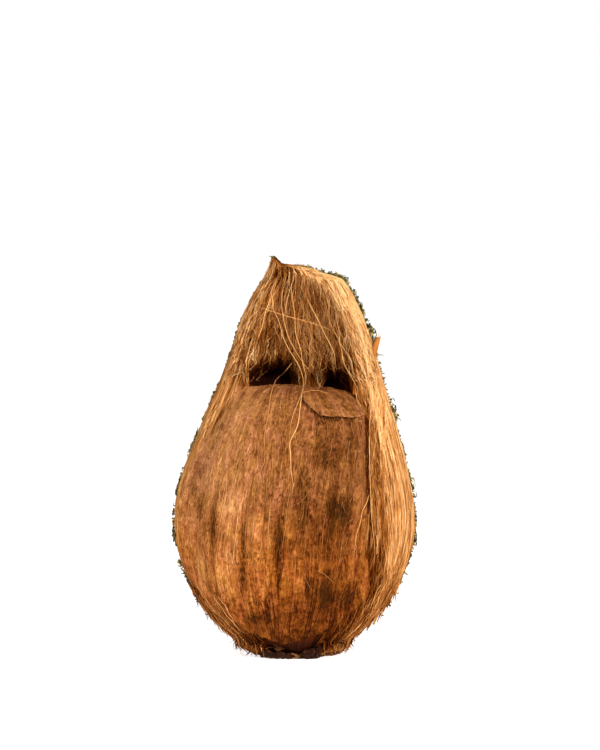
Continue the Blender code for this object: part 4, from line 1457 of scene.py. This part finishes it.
def add_scale(bm, index):
    """One scale that hugs the underside of the husk, with a torn upper edge."""
    inner = index % 2
    middle = math.radians(-52 + 59 * index)
    half_angle = math.radians(32 - 3 * inner)
    lowest, highest = math.radians(-82), math.radians(-67 - 2 * inner)
    columns, rows = 46, 20
    across, up = np.meshgrid(np.linspace(-1, 1, columns), np.linspace(0, 1, rows), indexing="ij")
    across, up = across.ravel(), up.ravel()
    tear = 0.34 * field(np.stack([across * 3 + index * 9, across * 0, across * 0 + 3], -1))
    tear = tear + 0.16 * field(np.stack([across * 11 + index * 9, across * 0, across * 0 + 8], -1))
    rounded = highest - (highest - lowest) * (0.55 * np.abs(across) ** 2.6 - np.minimum(tear, 0.05))
    climb = lowest + (rounded - lowest) * up
    angle = middle + half_angle * across
    wrinkle = 0.0009 * field(np.stack([across * 7, up * 4, across * 0 + index], -1))
    wrinkle = wrinkle + 0.0004 * field(np.stack([across * 22, up * 9, across * 0 + index], -1))
    gap = CALYX_GAP + 0.0009 * inner
    edge = np.minimum(1, 5 * (1 - np.abs(across))) * np.minimum(1, 0.35 + 3 * (1 - up))
    curl = 0.0007 * up**3 * (1 - 0.5 * np.abs(across))
    inner_side = husk_points(angle, climb, gap + curl)
    outer_side = husk_points(angle, climb, gap + curl + SCALE_THICK * np.clip(edge, 0.15, 1) + wrinkle)
    grids = []
    for side in (inner_side, outer_side):
        side[:, 2] = np.maximum(side[:, 2], 0.0)
        verts = [bm.verts.new(point) for point in side.tolist()]
        grids.append([verts[column * rows:(column + 1) * rows] for column in range(columns)])
    low, high = grids
    for i in range(columns - 1):
        for j in range(rows - 1):
            bm.faces.new((low[i][j], low[i][j + 1], low[i + 1][j + 1], low[i + 1][j]))
            bm.faces.new((high[i][j], high[i + 1][j], high[i + 1][j + 1], high[i][j + 1]))
    rim = [(i, 0) for i in range(columns)] + [(columns - 1, j) for j in range(1, rows)]
    rim += [(i, rows - 1) for i in range(columns - 2, -1, -1)] + [(0, j) for j in range(rows - 2, 0, -1)]
    for (i, j), (k, m) in zip(rim, rim[1:] + rim[:1]):
        bm.faces.new((low[i][j], low[k][m], high[k][m], high[i][j]))


# Lumps of bark under the foot: (turn from the front, climb in degrees, half-sizes round, up and out, tone).
LUMPS = (
    (-0.06, -77, (0.0056, 0.0018, 0.0012), 0.52),
    (0.42, -73, (0.0052, 0.0040, 0.0014), -0.12),
    (-0.85, -73, (0.0016, 0.0034, 0.0012), -0.10),
    (2.30, -70, (0.0060, 0.0034, 0.0014), -0.05),
    (4.10, -70, (0.0050, 0.0030, 0.0014), 0.05),
)


def make_lumps(material):
    """Lumps of broken scale and bark under the foot."""
    bm = bmesh.new()
    tones = []
    for number, (turn, climb, sizes, tone) in enumerate(LUMPS):
        made = bmesh.ops.create_icosphere(bm, subdivisions=4, radius=1)["verts"]
        ball = np.array([vert.co[:] for vert in made])
        rough = 1 + 0.40 * field(ball * 1.6 + number * 5) + 0.24 * field(ball * 5.0 + number * 5)
        lump = ball * rough[:, None] * sizes
        angle = FRONT + turn
        centre = husk_points(np.array([angle]), np.radians([climb]), 0.0018)[0]
        outward = unit(np.array([math.cos(angle), math.sin(angle), -0.5]))
        around = np.array([-math.sin(angle), math.cos(angle), 0.0])
        upward = np.cross(outward, around)
        places = centre + lump[:, :1] * around + lump[:, 1:2] * upward + lump[:, 2:] * outward
        for vert, place in zip(made, inside_frame(places)):
            vert.co = place
        tones.extend([tone] * len(made))
    mesh = mesh_of("foot_lumps", bm)
    write_values(mesh, husk_flow(mesh_points(mesh)), tone=np.array(tones))
    return link("foot_lumps", mesh, material)


def make_scraps(rng, tree, material):
    """Ragged scraps of scale that lie round the foot, most of them on both sides of the front."""
    count = 190
    clusters = rng.normal(-0.62, 0.20, 48), rng.normal(0.62, 0.22, 48), rng.uniform(0.9, 5.4, 94)
    angle = FRONT + np.concatenate(clusters)
    climb = np.radians(rng.normal(-68.5, 2.6, count))
    places = husk_points(angle, climb, rng.uniform(0.0004, 0.0022, count))
    near = np.array([tree.find_nearest(place.tolist())[3] < 0.0024 for place in places])
    around = unit(husk_points(angle + 0.02, climb) - husk_points(angle, climb))
    upward = unit(husk_points(angle, climb + 0.02) - husk_points(angle, climb))
    directions = around + upward * rng.normal(0.2, 0.7, (count, 1))
    lengths = rng.uniform(0.0022, 0.0066, count)
    widths = lengths * rng.uniform(0.30, 0.60, count)
    tones = rng.normal(-0.10, 0.12, count)
    kept = [values[near] for values in (places, directions, lengths, widths, tones)]
    return crumbs("foot_scraps", rng, *kept, material)


def add_scar(bm):
    """The round stem scar: a flat ring to stand on, with shallow rings and a dished middle."""
    around = 72
    angles = np.arange(around) * 2 * math.pi / around
    across, along = np.cos(angles), np.sin(angles)
    ragged = 1 + 0.03 * field(np.stack([across * 3, along * 3, angles * 0], -1))
    rings = []
    for radius in np.linspace(0, SCAR_RADIUS, 26):
        ripple = 0.0002 * (1 + math.sin(radius * 2600)) * (radius < 0.015)
        dish = 0.0012 * (1 - smooth(radius, 0.004, 0.012)) + ripple
        ring = np.stack([radius * ragged * across, radius * ragged * along, angles * 0 + dish], -1)
        rings.append([bm.verts.new(point) for point in ring.tolist()])
    top = [bm.verts.new((*vert.co.xy, CALYX_FLOOR - 0.0004)) for vert in rings[-1]]
    rings.append(top)
    for inner, outer in zip(rings, rings[1:]):
        for k in range(around):
            n = (k + 1) % around
            bm.faces.new((inner[k], inner[n], outer[n], outer[k]))
    bm.faces.new(top)
    bmesh.ops.remove_doubles(bm, verts=rings[0], dist=1e-5)


# ---- floor, light and camera -------------------------------------------------------------------

AIM = Vector((0.0034, 0.0, 0.158))
CAMERA_AWAY = 2.4
CAMERA_RISE = math.radians(4)
FRAME_TALL = 0.4208  # what the picture's height spans at the coconut


def make_camera():
    """A long lens in front, a little above the middle."""
    data = bpy.data.cameras.new("camera")
    data.sensor_width = 36
    data.lens = data.sensor_width * CAMERA_AWAY / FRAME_TALL
    camera = bpy.data.objects.new("camera", data)
    back = Vector((0, -math.cos(CAMERA_RISE), math.sin(CAMERA_RISE)))
    camera.location = AIM + back * CAMERA_AWAY
    camera.rotation_euler = (-back).to_track_quat("-Z", "Y").to_euler()
    bpy.context.scene.collection.objects.link(camera)
    bpy.context.scene.camera = camera


def add_light(name, place, size, power, colour):
    """A square soft light that faces the coconut."""
    data = bpy.data.lights.new(name, "AREA")
    data.size = size
    data.energy = power
    data.color = colour
    light = bpy.data.objects.new(name, data)
    light.location = place
    light.rotation_euler = (AIM - Vector(place)).to_track_quat("-Z", "Y").to_euler()
    bpy.context.scene.collection.objects.link(light)


def make_studio():
    """A white room: a pale floor, a dim warm glow all round, and two soft lights."""
    scene = bpy.context.scene
    scene.view_settings.view_transform = "Standard"
    world = bpy.data.worlds.new("studio")
    scene.world = world
    world.use_nodes = True
    tree = world.node_tree
    seen = tree.nodes["Background"]
    seen.inputs["Color"].default_value = (1, 1, 1, 1)
    seen.inputs["Strength"].default_value = 1.0
    glow = tree.nodes.new("ShaderNodeBackground")
    glow.inputs["Color"].default_value = (1.0, 0.97, 0.93, 1)
    glow.inputs["Strength"].default_value = 0.32
    path = tree.nodes.new("ShaderNodeLightPath")
    blend = tree.nodes.new("ShaderNodeMixShader")
    tree.links.new(path.outputs["Is Camera Ray"], blend.inputs["Fac"])
    tree.links.new(glow.outputs[0], blend.inputs[1])
    tree.links.new(seen.outputs[0], blend.inputs[2])
    tree.links.new(blend.outputs[0], tree.nodes["World Output"].inputs["Surface"])
    add_light("key", (0.70, -1.15, 0.70), 0.45, 25, (1.0, 0.97, 0.92))
    add_light("fill", (-1.0, -0.95, 0.45), 0.80, 9, (1.0, 0.96, 0.92))

    bm = bmesh.new()
    bmesh.ops.create_grid(bm, x_segments=1, y_segments=1, size=6)
    paint = Paint("floor", 0.9, 0.1)
    paint.shader.inputs["Emission Color"].default_value = (1, 1, 1, 1)
    paint.shader.inputs["Emission Strength"].default_value = 0.78
    floor = link("floor", mesh_of("floor", bm), paint.finish((0.85, 0.85, 0.85, 1)))


# ---- everything --------------------------------------------------------------------------------


def main():
    """Builds everything. The order of the pieces is the order of the random draws."""
    make_camera()
    make_studio()
    rng = np.random.default_rng(SEED)
    husk = make_husk(husk_material())
    felt = nut_material()
    nut = make_nut(felt)
    calyx = make_calyx(calyx_material())
    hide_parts("husk")
    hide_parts("nut")
    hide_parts("calyx")
    front = Front(husk, nut)
    tree = tree_of(husk, nut)
    bark = calyx.data.materials[0]
    fibre = fibre_material()
    chips = chip_material()
    slots = {
        "husk_fibre": [
            husk,
            make_hood_fibres(rng, front, fibre),
            make_hood_threads(rng, front, fibre),
            make_hood_tangle(rng, front, fibre),
            make_rim_fibres(rng, "right_rim_fibres", 1, 3900, -60, tree, fibre),
            make_rim_fibres(rng, "left_rim_fibres", -1, 1300, 20, tree, fibre),
            make_seam_fibres(rng, front, fibre),
            make_groove_shade_fibres(rng, front, fibre),
            make_strands(rng, front, fibre),
            make_skin_fringe(rng, chips),
            make_edge_curls(rng, chips),
            make_edge_loops(rng, chips),
            make_sliver(fibre),
            make_base_fibres(rng, tree, fibre),
        ],
        "nut_felt": [
            nut,
            make_left_felt(front, felt),
            make_low_felt(front, felt),
            make_felt_flap(front, felt),
            make_nut_fibres(rng, front, fibre),
            make_nut_threads(rng, front, fibre),
        ],
        "calyx_scale": [calyx, make_lumps(bark), make_scraps(rng, tree, bark)],
    }
    for slot, pieces in slots.items():
        for piece in pieces:
            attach(piece, "root")


main()
